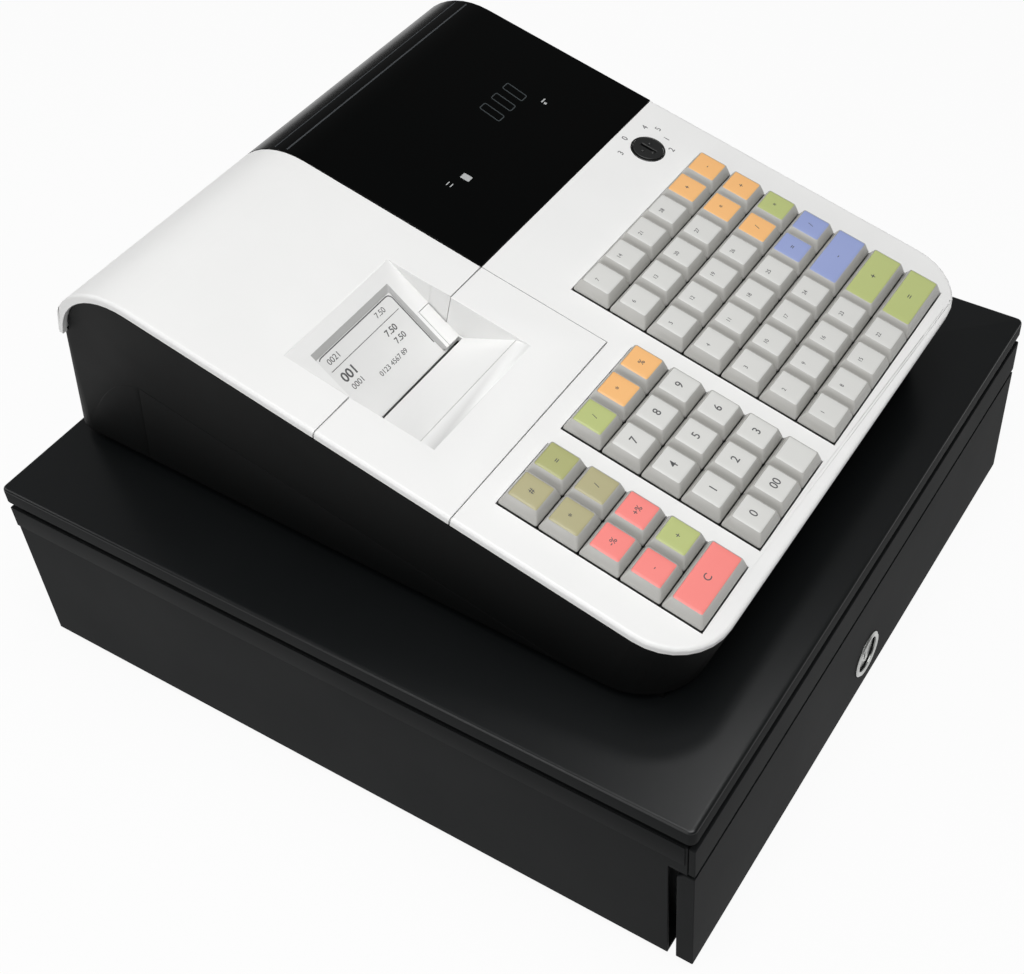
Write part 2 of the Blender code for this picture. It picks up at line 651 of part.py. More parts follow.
def make_covers():
    """The two white covers over the printer; the roll cover's tongue carries the receipt."""
    blank = add_piece("cover_blank", TOP_SHELL.copy(), None, DECK, group=CUTTERS)
    join(blank, tub_mesh(), DECK)
    cut(blank, recess_void(), DECK)
    blank = evaluated_mesh(blank)
    side, split = past(-DECK_HALF_WIDTH), TILE_SPLIT - SEAM / 2
    wall_left, wall_right = RECESS_LEFT - SEAM / 2, RECESS_RIGHT + SEAM / 2
    slot_right = RECESS_RIGHT - SLOT_INSET

    near, window = COVER_SEAM + SEAM / 2, WINDOW_SEAM - SEAM / 2
    outline = [(side, near), (split, near), (split, window), (RECESS_RIGHT - CLEARANCE, window),
               (RECESS_RIGHT - CLEARANCE, NOTCH_BACK), (TONGUE_RIGHT, NOTCH_BACK), (TONGUE_RIGHT, SLOT_REAR),
               (slot_right, SLOT_REAR), (slot_right, SLOT_FRONT), (wall_left, SLOT_FRONT),
               (wall_left, window), (side, window)]
    tile("printer_cover", "case_white", outline, blank)

    window, far = WINDOW_SEAM + SEAM / 2, past(DECK_END)
    tongue_left, tongue_right = RECESS_LEFT + CLEARANCE, TONGUE_RIGHT - CLEARANCE
    outline = [(tongue_left, SLOT_REAR), (tongue_right, SLOT_REAR), (tongue_right, NOTCH_BACK + CLEARANCE),
               (wall_right, NOTCH_BACK + CLEARANCE), (wall_right, window), (split, window), (split, far),
               (side, far), (side, window), (tongue_left, window)]
    roll = tile("roll_cover", "case_white", outline, blank)
    pocket_left = RECESS_LEFT + POCKET_SIDE
    pocket_right = pocket_left + POCKET_WIDTH
    pocket_back = POCKET_BACK / slope_direction().x
    cut(roll, slope_layer(pocket_left, pocket_right, -OVERRUN, POCKET_DEPTH, pocket_back, OVERRUN), DECK)

    top = POCKET_DEPTH - CLEARANCE - STRIP_THICKNESS
    add_piece("receipt_strip", slope_layer(pocket_left + STRIP_SIDE_GAP, pocket_right - STRIP_SIDE_GAP, top,
                                           POCKET_DEPTH - CLEARANCE, pocket_back + STRIP_SIDE_GAP,
                                           STRIP_REACH), "paper", DECK)


# Display window and the two display modules behind it


def make_displays():
    """Smoked window tile over the nose, the clerk's display under it and the customer's at the back."""
    side, split = past(DECK_HALF_WIDTH), TILE_SPLIT + SEAM / 2
    near, far = WINDOW_SEAM + SEAM / 2, past(DECK_END)
    tile("display_window", "window_black", [(split, near), (side, near), (side, far), (split, far)])
    top = -SKIN - CLEARANCE
    front = WINDOW_SEAM + OPERATOR_DISPLAY_OFFSET
    right = DECK_HALF_WIDTH - OPERATOR_DISPLAY_MARGIN
    add_piece("operator_display",
              deck_box(right - OPERATOR_DISPLAY_WIDTH, right, front, front + OPERATOR_DISPLAY_LENGTH,
                       top - DISPLAY_DEPTH, top),
              "display_glass", DECK)
    top = CUSTOMER_DISPLAY_HEIGHT - SKIRT_FOOT
    back = NOSE_START + math.sqrt((NOSE_RADIUS - SKIN - CLEARANCE) ** 2 - (NOSE_RADIUS + top) ** 2)
    right = DECK_HALF_WIDTH - CUSTOMER_DISPLAY_MARGIN
    add_piece("customer_display",
              deck_box(right - CUSTOMER_DISPLAY_WIDTH, right, back - DISPLAY_DEPTH, back,
                       top - CUSTOMER_DISPLAY_HEIGHT, top),
              "display_glass", DECK)


# Lower case


def tapered_prism(inset, top):
    """The case's plan carried down from top: front and sides draw in.

    Below the skirt the rear wall leans out and its two corners grow rounder.
    """
    shape = bmesh.new()
    shape.from_mesh(outline_mesh(plan_outline(inset), -CASE_PRISM_DEPTH, top))
    bmesh.ops.bisect_plane(shape, geom=shape.verts[:] + shape.edges[:] + shape.faces[:],
                           plane_co=(0.0, 0.0, -SKIRT_FOOT), plane_no=(0.0, 0.0, 1.0))
    side = DECK_HALF_WIDTH - inset
    front, back = inset, DECK_END - inset
    radius = REAR_CORNER_RADIUS - inset
    for point in shape.verts:
        below = max(0.0, -point.co.z - SKIRT_FOOT)
        if point.co.y > back - radius - WELD:
            grown = 1.0 + CASE_CORNER_SHARE * below / radius
            point.co.x = math.copysign(side - (side - abs(point.co.x)) * grown, point.co.x)
            point.co.y = back - (back - point.co.y) * grown
        draw = CASE_DRAFT_SHARE * (-point.co.z - RIM_DEPTH)
        lean = CASE_LEAN_SHARE * below
        place = (point.co.y - front) / (back - front)
        point.co.x *= (side - draw) / side
        point.co.y += draw * (1.0 - place) + lean * place
    return to_mesh(shape)


def rear_wall_point(depth):
    """Outer face of the case's rear wall at a depth below the slope, in the slope's frame."""
    return Vector((0.0, DECK_END + CASE_LEAN_SHARE * (depth - SKIRT_FOOT), -depth))


def make_lower_case():
    """Black tub under the top, level at the bottom, on four low foot blocks."""
    case = add_piece("lower_case", tapered_prism(0.0, -RIM_DEPTH - CLEARANCE), "case_black", DECK)
    under_nose = nose_line(RIM_DEPTH + CLEARANCE, SKIRT_FOOT + CLEARANCE)
    far = DECK_END + CASE_PRISM_DEPTH
    outline = [(NOSE_START, OVERRUN)] + under_nose + [(far, -SKIRT_FOOT - CLEARANCE), (far, OVERRUN)]
    wide = DECK_HALF_WIDTH + OVERRUN
    cut(case, outline_mesh(outline, -wide, wide, SIDE_ON), DECK)
    low = (-DECK_HALF_WIDTH - OVERRUN, FRONT - CABINET_DEPTH, -CABINET_HEIGHT)
    cut(case, box_mesh(low, (DECK_HALF_WIDTH + OVERRUN, REAR + CABINET_DEPTH, CASE_BASE_LEVEL)))
    hollow = add_piece("case_hollow", tapered_prism(CASE_WALL, OVERRUN), None, DECK, group=CUTTERS)
    cut(hollow, box_mesh(low, (DECK_HALF_WIDTH, REAR + CABINET_DEPTH, CASE_BASE_LEVEL + CASE_FLOOR)))
    cut(case, evaluated_mesh(hollow), DECK)
    level = CASE_BASE_LEVEL + CASE_FLOOR / 2
    depth_front = (DECK_FRONT_RISE - CASE_FOOT_HEIGHT) / math.cos(DECK_ANGLE)
    front_wall = (DECK_FRAME @ Vector((0.0, CASE_DRAFT_SHARE * depth_front, -depth_front))).y
    rear_wall = REAR - CABINET_REAR_MARGIN - CASE_FOOT_HEIGHT * math.tan(REAR_WALL_ANGLE)
    for near in (front_wall + CASE_FOOT_INSET, rear_wall - CASE_FOOT_SIZE - CASE_FOOT_REAR_INSET):
        deep = math.tan(DECK_ANGLE) * (near - FRONT - DECK_FRONT_SETBACK) + DECK_FRONT_RISE
        edge = DECK_HALF_WIDTH - CASE_DRAFT_SHARE * deep - CASE_FOOT_INSET
        for left in (-edge, edge - CASE_FOOT_SIZE):
            join(case, box_mesh((left, near, CABINET_HEIGHT + CLEARANCE),
                                (left + CASE_FOOT_SIZE, near + CASE_FOOT_SIZE, level)))
    inner, outer = gland_ends()
    cut(case, rod_mesh(inner, outer, GLAND_RADIUS + CLEARANCE, GLAND_SEGMENTS), DECK)


def gland_ends():
    """Two points on the gland's axis, inside and outside the rear wall."""
    face = rear_wall_point(GLAND_DEPTH) + Vector((GLAND_MARGIN - DECK_HALF_WIDTH, 0.0, 0.0))
    outward = Vector((0.0, 1.0, CASE_LEAN_SHARE)).normalized()
    return face - outward * (CASE_WALL + OVERRUN), face + outward * (CLEARANCE + GLAND_FLANGE)


def make_cord_gland():
    """Flanged bush in the rear wall for the mains cord."""
    inner, outer = gland_ends()
    outward = (outer - inner).normalized()
    gland = add_piece("cord_gland", rod_mesh(inner, outer, GLAND_RADIUS, GLAND_SEGMENTS), "rubber", DECK)
    join(gland, rod_mesh(outer - outward * GLAND_FLANGE, outer, GLAND_FLANGE_RADIUS, GLAND_SEGMENTS), DECK)
    cut(gland, rod_mesh(inner - outward * OVERRUN, outer + outward * OVERRUN, GLAND_BORE_RADIUS,
                        GLAND_SEGMENTS), DECK)


# Key plate, main board, mode lock and transformer


def make_electronics():
    """Plate under the wells on spacers over the board, the key switch and the transformer."""
    left, right = BLOCKS["function"][0], DEPARTMENT_LEFT + DEPARTMENT_COLUMNS * KEY_PITCH
    top = -WELL_DEPTH - CLEARANCE
    under = top - KEY_PLATE_THICKNESS
    plate = add_piece("key_plate", deck_box(left, right, BLOCK_FRONT, NUMERIC_BACK, under, top),
                      "steel", DECK)
    join(plate, deck_box(DEPARTMENT_LEFT, right, NUMERIC_BACK - OVERRUN, DEPARTMENT_BACK, under, top), DECK)
    foot = under - SPACER_LENGTH
    for x in (left + SPACER_INSET, right - SPACER_INSET):
        for v in (BLOCK_FRONT + SPACER_INSET, NUMERIC_BACK - SPACER_INSET):
            join(plate, rod_mesh((x, v, foot), (x, v, top - KEY_PLATE_THICKNESS / 2), SPACER_RADIUS,
                                 CLIP_SEGMENTS), DECK)
    board_top = foot - CLEARANCE
    add_piece("main_board", deck_box(left + BOARD_INSET, right - BOARD_INSET, BLOCK_FRONT + BOARD_INSET,
                                     NUMERIC_BACK - BOARD_INSET, board_top - BOARD_THICKNESS, board_top),
              "board_green", DECK)

    centre = Vector((DECK_HALF_WIDTH - MODE_LOCK_INSET, DEPARTMENT_BACK + MODE_LOCK_OFFSET, 0.0))
    up = Vector((0.0, 0.0, 1.0))
    lock = add_piece("mode_lock", rod_mesh(centre - up * MODE_LOCK_LENGTH, centre + up * MODE_LOCK_PROUD,
                                           MODE_LOCK_RADIUS, LOCK_SEGMENTS), "lock_black", DECK, centre)
    cut(lock, deck_box(centre.x - KEYWAY_WIDTH / 2, centre.x + KEYWAY_WIDTH / 2,
                       centre.y - KEYWAY_LENGTH / 2, centre.y + KEYWAY_LENGTH / 2,
                       MODE_LOCK_PROUD - KEYWAY_DEPTH, MODE_LOCK_PROUD + OVERRUN), DECK)

    floor = CASE_BASE_LEVEL + CASE_FLOOR + CLEARANCE
    back = REAR - TRANSFORMER_REAR_SPACE
    right = DECK_HALF_WIDTH - TRANSFORMER_MARGIN
    add_piece("transformer", box_mesh((right - TRANSFORMER_WIDTH, back - TRANSFORMER_LENGTH, floor),
                                      (right, back, floor + TRANSFORMER_HEIGHT)),
              "steel")


# Printer: frame, platen roller and receipt roll


def make_printer():
    """Two side plates stand on the case's floor and carry the platen and the paper roll."""
    middle = RECESS_LEFT + RECESS_WIDTH / 2
    frame_top = -RECESS_DEPTH - TUB_WALL - FRAME_TOP_GAP
    front = SLOT_REAR - FRAME_FRONT
    back = SLOT_REAR + ROLL_OFFSET + FRAME_REAR_MARGIN
    low = frame_top - FRAME_DEPTH
    inner, outer = FRAME_HALF_WIDTH, FRAME_HALF_WIDTH + FRAME_PLATE
    platen = Vector((middle, SLOT_REAR + PLATEN_OFFSET, frame_top - PLATEN_DROP))
    roll = Vector((middle, SLOT_REAR + ROLL_OFFSET, frame_top - ROLL_DROP))

    frame = add_piece("printer_frame", deck_box(middle - outer, middle + outer, front, back, low, frame_top),
                      "steel", DECK)
    bridge_top = platen.z - PLATEN_RADIUS - BRIDGE_GAP
    head_back = platen.y - PLATEN_RADIUS - BRIDGE_GAP
    head_front = head_back - HEAD_BAR_LENGTH
    bridge_back = platen.y + PLATEN_RADIUS + BRIDGE_GAP
    cut(frame, deck_box(middle - inner, middle + inner, head_back, back + OVERRUN, bridge_top,
                        frame_top + OVERRUN), DECK)
    cut(frame, deck_box(middle - inner, middle + inner, bridge_back, back + OVERRUN, low - OVERRUN,
                        bridge_top + OVERRUN), DECK)
    cut(frame, deck_box(middle - inner, middle + inner, front - OVERRUN, head_front, low - OVERRUN,
                        frame_top + OVERRUN), DECK)
    cut(frame, deck_box(middle - inner, middle + inner, head_front - OVERRUN, back + OVERRUN, low - OVERRUN,
                        bridge_top - BRIDGE_THICKNESS), DECK)
    cut(frame, box_mesh((-DECK_HALF_WIDTH, FRONT, 0.0),
                        (DECK_HALF_WIDTH, REAR, CASE_BASE_LEVEL + CASE_FLOOR + CLEARANCE)))
    across = Vector((outer + CLEARANCE, 0.0, 0.0))
    for axis, radius in ((platen, PLATEN_SHAFT_RADIUS), (roll, SPINDLE_RADIUS)):
        cut(frame, rod_mesh(axis - across * 2, axis + across * 2, radius + CLEARANCE, SHAFT_SEGMENTS), DECK)

    def roller(name, finish, axis, radius, half, shaft, segments):
        """A drum with a shaft through both side plates."""
        width = Vector((half, 0.0, 0.0))
        drum = add_piece(name, rod_mesh(axis - width, axis + width, radius, segments), finish, DECK, axis)
        join(drum, rod_mesh(axis - across, axis + across, shaft, SHAFT_SEGMENTS), DECK)

    roller("platen_roller", "rubber", platen, PLATEN_RADIUS, PLATEN_HALF_WIDTH, PLATEN_SHAFT_RADIUS,
           SHAFT_SEGMENTS)
    roller("receipt_roll", "paper", roll, ROLL_RADIUS, ROLL_HALF_WIDTH, SPINDLE_RADIUS, ROLL_SEGMENTS)


# Cabinet

SHELL_TOP = CABINET_HEIGHT - LID_LIP - GROOVE_HEIGHT
SHELL_FRONT = FRONT + HEADER_THICKNESS + CLEARANCE
SHELL_REAR = REAR - SHELL_REAR_INSET
SIDE_FRONT = FRONT + PANEL_THICKNESS + FINGER_GAP
LATCH_Y = SHELL_REAR - SHELL_SHEET - LATCH_PIN_INSET


def make_cabinet():
    """Steel shell, its lid and the header strip over the drawer."""
    half = CABINET_HALF_WIDTH
    body = box_mesh((-half, SHELL_FRONT, SHELL_BOTTOM), (half, SHELL_REAR, SHELL_TOP))
    shell = add_piece("cabinet_shell", body, "cabinet_black")
    inner = half - SHELL_SHEET
    cut(shell, box_mesh((-inner, SHELL_FRONT - OVERRUN, SHELL_BOTTOM + SHELL_SHEET),
                        (inner, SHELL_REAR - SHELL_SHEET, SHELL_TOP + OVERRUN)))
    cut(shell, box_mesh((-half - OVERRUN, SHELL_FRONT - OVERRUN, SHELL_BOTTOM - OVERRUN),
                        (half + OVERRUN, SIDE_FRONT, PANEL_TOP + NOTCH_GAP)))
    pin_top = LATCH_LEVEL + LATCH_THICKNESS + CLEARANCE
    join(shell, rod_mesh((LATCH_X, LATCH_Y, SHELL_BOTTOM + SHELL_SHEET / 2), (LATCH_X, LATCH_Y, pin_top),
                         LATCH_PIN_RADIUS, CLIP_SEGMENTS))
    join(shell, rod_mesh((LATCH_X, LATCH_Y, SHELL_BOTTOM + SHELL_SHEET / 2),
                         (LATCH_X, LATCH_Y, LATCH_LEVEL - CLEARANCE), 2 * LATCH_PIN_RADIUS, CLIP_SEGMENTS))

    lip = half + LID_OVERHANG
    ring = half - GROOVE_DEPTH
    plate = eased_box_mesh((-lip, FRONT, CABINET_HEIGHT - LID_LIP), (lip, REAR, CABINET_HEIGHT),
                           LID_EDGE_RADIUS, LID_EDGE_STEPS)
    lid = add_piece("cabinet_top", plate, "cabinet_black")
    ring_front, ring_rear = FRONT + GROOVE_DEPTH, SHELL_REAR - GROOVE_DEPTH
    join(lid, box_mesh((-ring, ring_front, SHELL_TOP + CLEARANCE),
                       (ring, ring_rear, CABINET_HEIGHT - LID_SHEET)))
    cut(lid, box_mesh((-ring + LID_SHEET, ring_front + LID_SHEET, SHELL_TOP - OVERRUN),
                      (ring - LID_SHEET, ring_rear - LID_SHEET, CABINET_HEIGHT - LID_SHEET)))

    add_piece("front_header", box_mesh((-half, FRONT, PANEL_TOP + HEADER_GAP),
                                       (half, FRONT + HEADER_THICKNESS, SHELL_TOP)), "cabinet_black")

    level = SHELL_BOTTOM - CLEARANCE
    for side_name, side in (("left", -1), ("right", 1)):
        for end_name, y in (("front", FRONT + FOOT_END_INSET), ("rear", REAR - FOOT_END_INSET)):
            x = side * (half - FOOT_SIDE_INSET)
            add_piece("foot_%s_%s" % (end_name, side_name),
                      rod_mesh((x, y, 0.0), (x, y, level), FOOT_RADIUS, FOOT_SEGMENTS), "rubber")


# Drawer, its runners, lock and latch

BOX_FRONT = FRONT + PANEL_THICKNESS + CLEARANCE
BOX_REAR = SHELL_REAR - SHELL_SHEET - BOX_REAR_SPACE
RUNNER_OUTER = CABINET_HALF_WIDTH - SHELL_SHEET - CLEARANCE
BOX_HALF_WIDTH = RUNNER_OUTER - RUNNER_WIDTH - CLEARANCE


def make_drawer():
    """Front panel, steel box with a rail on each side, and the two channel runners."""
    half = CABINET_HALF_WIDTH
    outline = [(FRONT, PANEL_BOTTOM), (FRONT + PANEL_THICKNESS, PANEL_BOTTOM),
               (FRONT + PANEL_THICKNESS, PANEL_TOP - PANEL_BEVEL),
               (FRONT + PANEL_THICKNESS - PANEL_BEVEL, PANEL_TOP), (FRONT, PANEL_TOP)]
    panel = add_piece("drawer_front", outline_mesh(outline, -half, half, SIDE_ON), "cabinet_black")
    box = add_piece("drawer_box", box_mesh((-BOX_HALF_WIDTH, BOX_FRONT, BOX_BOTTOM),
                                           (BOX_HALF_WIDTH, BOX_REAR, BOX_TOP)), "steel")
    rail_low, rail_high = RAIL_LEVEL - RAIL_HEIGHT / 2, RAIL_LEVEL + RAIL_HEIGHT / 2
    rail = BOX_HALF_WIDTH + RAIL_WIDTH
    join(box, box_mesh((-rail, SIDE_FRONT + RUNNER_FRONT_INSET, rail_low), (rail, BOX_REAR, rail_high)))
    inner = BOX_HALF_WIDTH - BOX_SHEET
    cut(box, box_mesh((-inner, BOX_FRONT + BOX_SHEET, BOX_BOTTOM + BOX_SHEET),
                      (inner, BOX_REAR - BOX_SHEET, BOX_TOP + OVERRUN)))
    lock_end = BOX_FRONT + BOX_SHEET + LOCK_BEHIND
    for piece in (panel, box):
        cut(piece, rod_mesh((0.0, FRONT - OVERRUN, LOCK_HEIGHT), (0.0, lock_end, LOCK_HEIGHT),
                            LOCK_RADIUS + CLEARANCE, LOCK_SEGMENTS))

    origin = (0.0, FRONT + LOCK_RECESS, LOCK_HEIGHT)
    barrel = rod_mesh(origin, (0.0, lock_end, LOCK_HEIGHT), LOCK_RADIUS, LOCK_SEGMENTS)
    lock = add_piece("drawer_lock", barrel, "lock_black", None, origin)
    join(lock, box_mesh((-CAM_WIDTH / 2, lock_end - CAM_THICKNESS / 2, LOCK_HEIGHT - CAM_WIDTH / 2),
                        (CAM_LENGTH, lock_end + CAM_THICKNESS, LOCK_HEIGHT + CAM_WIDTH / 2)))
    cut(lock, box_mesh((-KEYWAY_WIDTH / 2, FRONT - OVERRUN, LOCK_HEIGHT - KEYWAY_LENGTH / 2),
                       (KEYWAY_WIDTH / 2, origin[1] + KEYWAY_DEPTH, LOCK_HEIGHT + KEYWAY_LENGTH / 2)))

    inner_edge = BOX_HALF_WIDTH + CLEARANCE
    low, high = rail_low - CLEARANCE, rail_high + CLEARANCE
    front, rear = SIDE_FRONT + RUNNER_FRONT_INSET, SHELL_REAR - SHELL_SHEET - CLEARANCE
    for name, side in (("runner_left", -1), ("runner_right", 1)):
        edges = sorted((side * inner_edge, side * RUNNER_OUTER))
        runner = add_piece(name, box_mesh((edges[0], front, low - RUNNER_FLANGE),
                                          (edges[1], rear, high + RUNNER_FLANGE)), "steel")
        edges = sorted((side * (inner_edge - OVERRUN), side * (RUNNER_OUTER - RUNNER_WEB)))
        cut(runner, box_mesh((edges[0], front - OVERRUN, low), (edges[1], rear + OVERRUN, high)))


def make_latch():
    """Hooked lever on the shell's pin, and the solenoid that pulls it."""
    top = LATCH_LEVEL + LATCH_THICKNESS
    half = LATCH_WIDTH / 2
    outline = [(-LATCH_LENGTH, -half - LATCH_HOOK), (-LATCH_LENGTH + half, -half - LATCH_HOOK),
               (-LATCH_LENGTH + half, -half), (LATCH_LENGTH, -half), (LATCH_LENGTH, half),
               (-LATCH_LENGTH, half)]
    mesh = outline_mesh(outline, LATCH_LEVEL, top)
    mesh.transform(Matrix.Translation((LATCH_X, LATCH_Y, 0.0)))
    lever = add_piece("latch_lever", mesh, "steel", None, (LATCH_X, LATCH_Y, LATCH_LEVEL))
    cut(lever, rod_mesh((LATCH_X, LATCH_Y, LATCH_LEVEL - OVERRUN), (LATCH_X, LATCH_Y, top + OVERRUN),
                        LATCH_PIN_RADIUS + CLEARANCE, CLIP_SEGMENTS))
    left = LATCH_X + LATCH_LENGTH + SOLENOID_GAP
    floor = SHELL_BOTTOM + SHELL_SHEET + CLEARANCE
    add_piece("release_solenoid", box_mesh((left, LATCH_Y - SOLENOID_WIDTH / 2, floor),
                                           (left + SOLENOID_LENGTH, LATCH_Y + SOLENOID_WIDTH / 2,
                                            floor + SOLENOID_HEIGHT)), "steel")


# Till tray with coin cups, note bays and sprung clips

TRAY_HALF_WIDTH = BOX_HALF_WIDTH - BOX_SHEET - TRAY_SIDE_GAP
TRAY_FRONT = BOX_FRONT + BOX_SHEET + TRAY_FRONT_SPACE
TRAY_REAR = BOX_REAR - BOX_SHEET - TRAY_SIDE_GAP
TRAY_BOTTOM = BOX_BOTTOM + BOX_SHEET + CLEARANCE
CUP_BACK = TRAY_FRONT + TRAY_WALL + CUP_LENGTH


def tray_pockets(count, front, back):
    """Equal pockets side by side across the tray."""
    width = (2 * TRAY_HALF_WIDTH - (count + 1) * TRAY_WALL) / count
    for number in range(count):
        left = -TRAY_HALF_WIDTH + TRAY_WALL + number * (width + TRAY_WALL)
        yield left, left + width, front, back


def make_till():
    """Moulded insert of the drawer, and one clip over each note bay."""
    tray_top = TRAY_BOTTOM + TRAY_HEIGHT
    tray = add_piece("till_tray", box_mesh((-TRAY_HALF_WIDTH, TRAY_FRONT, TRAY_BOTTOM),
                                           (TRAY_HALF_WIDTH, TRAY_REAR, tray_top)), "tray_grey")
    cups = list(tray_pockets(COIN_CUPS, TRAY_FRONT + TRAY_WALL, CUP_BACK))
    bays = list(tray_pockets(NOTE_BAYS, CUP_BACK + TRAY_WALL, TRAY_REAR - TRAY_WALL))
    for left, right, front, back in cups + bays:
        cut(tray, box_mesh((left, front, TRAY_BOTTOM + TRAY_FLOOR), (right, back, tray_top + OVERRUN)))
    pivot_y = TRAY_REAR - TRAY_WALL - CLEARANCE - CLIP_BARREL_RADIUS
    pivot_z = TRAY_BOTTOM + CLIP_LEVEL
    half = CLIP_WIDTH / 2
    ear_outer = half + CLEARANCE + CLIP_EAR
    for number, (left, right, front, back) in enumerate(bays):
        x = (left + right) / 2
        for side in (-1, 1):
            edges = sorted((x + side * (half + CLEARANCE), x + side * ear_outer))
            join(tray, box_mesh((edges[0], pivot_y - CLIP_EAR_HEIGHT / 2, pivot_z - CLIP_EAR_HEIGHT / 2),
                                (edges[1], TRAY_REAR - TRAY_WALL / 2, pivot_z + CLIP_EAR_HEIGHT / 2)))
        pivot = Vector((x, pivot_y, pivot_z))
        across = Vector((ear_outer - CLEARANCE, 0.0, 0.0))
        cut(tray, rod_mesh(pivot - across * 1.5, pivot + across * 1.5, CLIP_PIN_RADIUS + CLEARANCE,
                           CLIP_SEGMENTS))
        drop = CLIP_LEVEL - CLIP_TIP_LEVEL
        tip = pivot_y - CLIP_REACH
        outline = [(pivot_y, pivot_z), (pivot_y, pivot_z + CLIP_THICKNESS),
                   (tip + CLIP_PAD, pivot_z + CLIP_THICKNESS - drop), (tip, pivot_z + CLIP_THICKNESS - drop),
                   (tip, pivot_z - drop), (tip + CLIP_PAD, pivot_z - drop)]
        clip = add_piece("note_clip_%d" % (number + 1), outline_mesh(outline, x - half, x + half, SIDE_ON),
                         "steel", None, pivot)
        barrel = Vector((half, 0.0, 0.0))
        join(clip, rod_mesh(pivot - barrel, pivot + barrel, CLIP_BARREL_RADIUS, CLIP_SEGMENTS))
        join(clip, rod_mesh(pivot - across, pivot + across, CLIP_PIN_RADIUS, CLIP_SEGMENTS))


make_cabinet()
make_drawer()
make_latch()
make_till()
make_lower_case()
make_cord_gland()
make_electronics()
make_printer()
make_upper_case()
make_covers()
make_displays()
make_keys()
bpy.data.meshes.remove(TOP_SHELL)
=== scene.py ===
"""A ticket register on its cash drawer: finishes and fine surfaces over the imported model.

X runs to the clerk's right, Y to the back and Z up, in metres. The register's sloping top has its
own directions: x, v up the slope from its front edge, and w square to it.
"""
import math
from collections import namedtuple

import bmesh
import bpy
import numpy as np
from mathutils import Matrix, Vector


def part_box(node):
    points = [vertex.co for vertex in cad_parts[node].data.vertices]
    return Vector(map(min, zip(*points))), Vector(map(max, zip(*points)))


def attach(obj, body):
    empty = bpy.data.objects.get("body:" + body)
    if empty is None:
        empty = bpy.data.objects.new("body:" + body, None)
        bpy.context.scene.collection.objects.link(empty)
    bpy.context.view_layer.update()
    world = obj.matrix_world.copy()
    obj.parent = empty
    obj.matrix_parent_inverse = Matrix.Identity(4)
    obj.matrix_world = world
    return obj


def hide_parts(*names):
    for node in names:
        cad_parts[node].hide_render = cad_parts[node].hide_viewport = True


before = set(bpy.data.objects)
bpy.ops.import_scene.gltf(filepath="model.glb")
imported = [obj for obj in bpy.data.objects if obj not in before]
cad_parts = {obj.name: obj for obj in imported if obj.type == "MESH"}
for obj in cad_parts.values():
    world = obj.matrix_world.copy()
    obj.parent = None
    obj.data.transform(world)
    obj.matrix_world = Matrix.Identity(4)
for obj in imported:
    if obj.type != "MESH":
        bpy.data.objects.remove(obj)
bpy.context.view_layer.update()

scene = bpy.context.scene
scene.view_settings.view_transform = "Standard"
MM = 0.001

# Camera
# It stands at the register's front left corner and looks down at 45 degrees, as the photograph was
# taken. The place and the lens come from the straight edges of the cabinet and the grid of keys.
PHOTO_WIDTH, PHOTO_HEIGHT = 1024, 974
PHOTO_FOCAL = 1645.23                    # focal length in the photograph's pixels
PHOTO_CENTRE = (586.688, 443.750)        # where the lens axis meets the photograph
SENSOR_WIDTH = 36.0
CAMERA_PLACE = Vector((-0.4557, -0.3283, 0.6336))
CAMERA_RIGHT = Vector((0.5208, -0.8531, -0.0320))
CAMERA_FORWARD = Vector((0.5926, 0.3883, -0.7058))

lens = bpy.data.cameras.new("photo_camera")
lens.sensor_width = SENSOR_WIDTH
lens.lens = PHOTO_FOCAL * SENSOR_WIDTH / PHOTO_WIDTH
lens.shift_x = (PHOTO_WIDTH / 2 - PHOTO_CENTRE[0]) / PHOTO_WIDTH
lens.shift_y = (PHOTO_CENTRE[1] - PHOTO_HEIGHT / 2) / PHOTO_WIDTH
lens.clip_start = 10 * MM
camera = bpy.data.objects.new("photo_camera", lens)
across = CAMERA_RIGHT.normalized()
ahead = (CAMERA_FORWARD - CAMERA_FORWARD.project(across)).normalized()
turn = Matrix((across, across.cross(ahead), -ahead)).transposed()
camera.matrix_world = Matrix.Translation(CAMERA_PLACE) @ turn.to_4x4()
scene.collection.objects.link(camera)
scene.camera = camera

# Floor and light
# A white paper sweep under the object, one large soft lamp overhead with a small one beside it, and
# two weaker ones at the left and the rear. The sweep looks almost white and still holds the shadow.


def linear(code):
    """An sRGB hex colour as linear red, green, blue and alpha."""
    values = np.array([int(code[i:i + 2], 16) for i in (1, 3, 5)]) / 255
    curve = np.where(values <= 0.04045, values / 12.92, ((values + 0.055) / 1.055) ** 2.4)
    return (*curve.tolist(), 1.0)


def add_node(tree, kind, values=None, wires=None, **settings):
    """Adds a node: settings are its properties, values its sockets' numbers, wires the links into it."""
    made = tree.nodes.new("ShaderNode" + kind)
    for name, value in settings.items():
        setattr(made, name, value)
    for socket, value in (values or {}).items():
        made.inputs[socket].default_value = value
    for socket, source in (wires or {}).items():
        tree.links.new(source, made.inputs[socket])
    return made


FLOOR_HALF = 3.0
FLOOR_WHITE = "#e4e4e4"
FLOOR_GLOW_SHARE = 0.93
ROOM_STRENGTH = 0.18                     # light from all round; 1 is white
BACKDROP_STRENGTH = 1.0
WHITE = (1, 1, 1, 1)

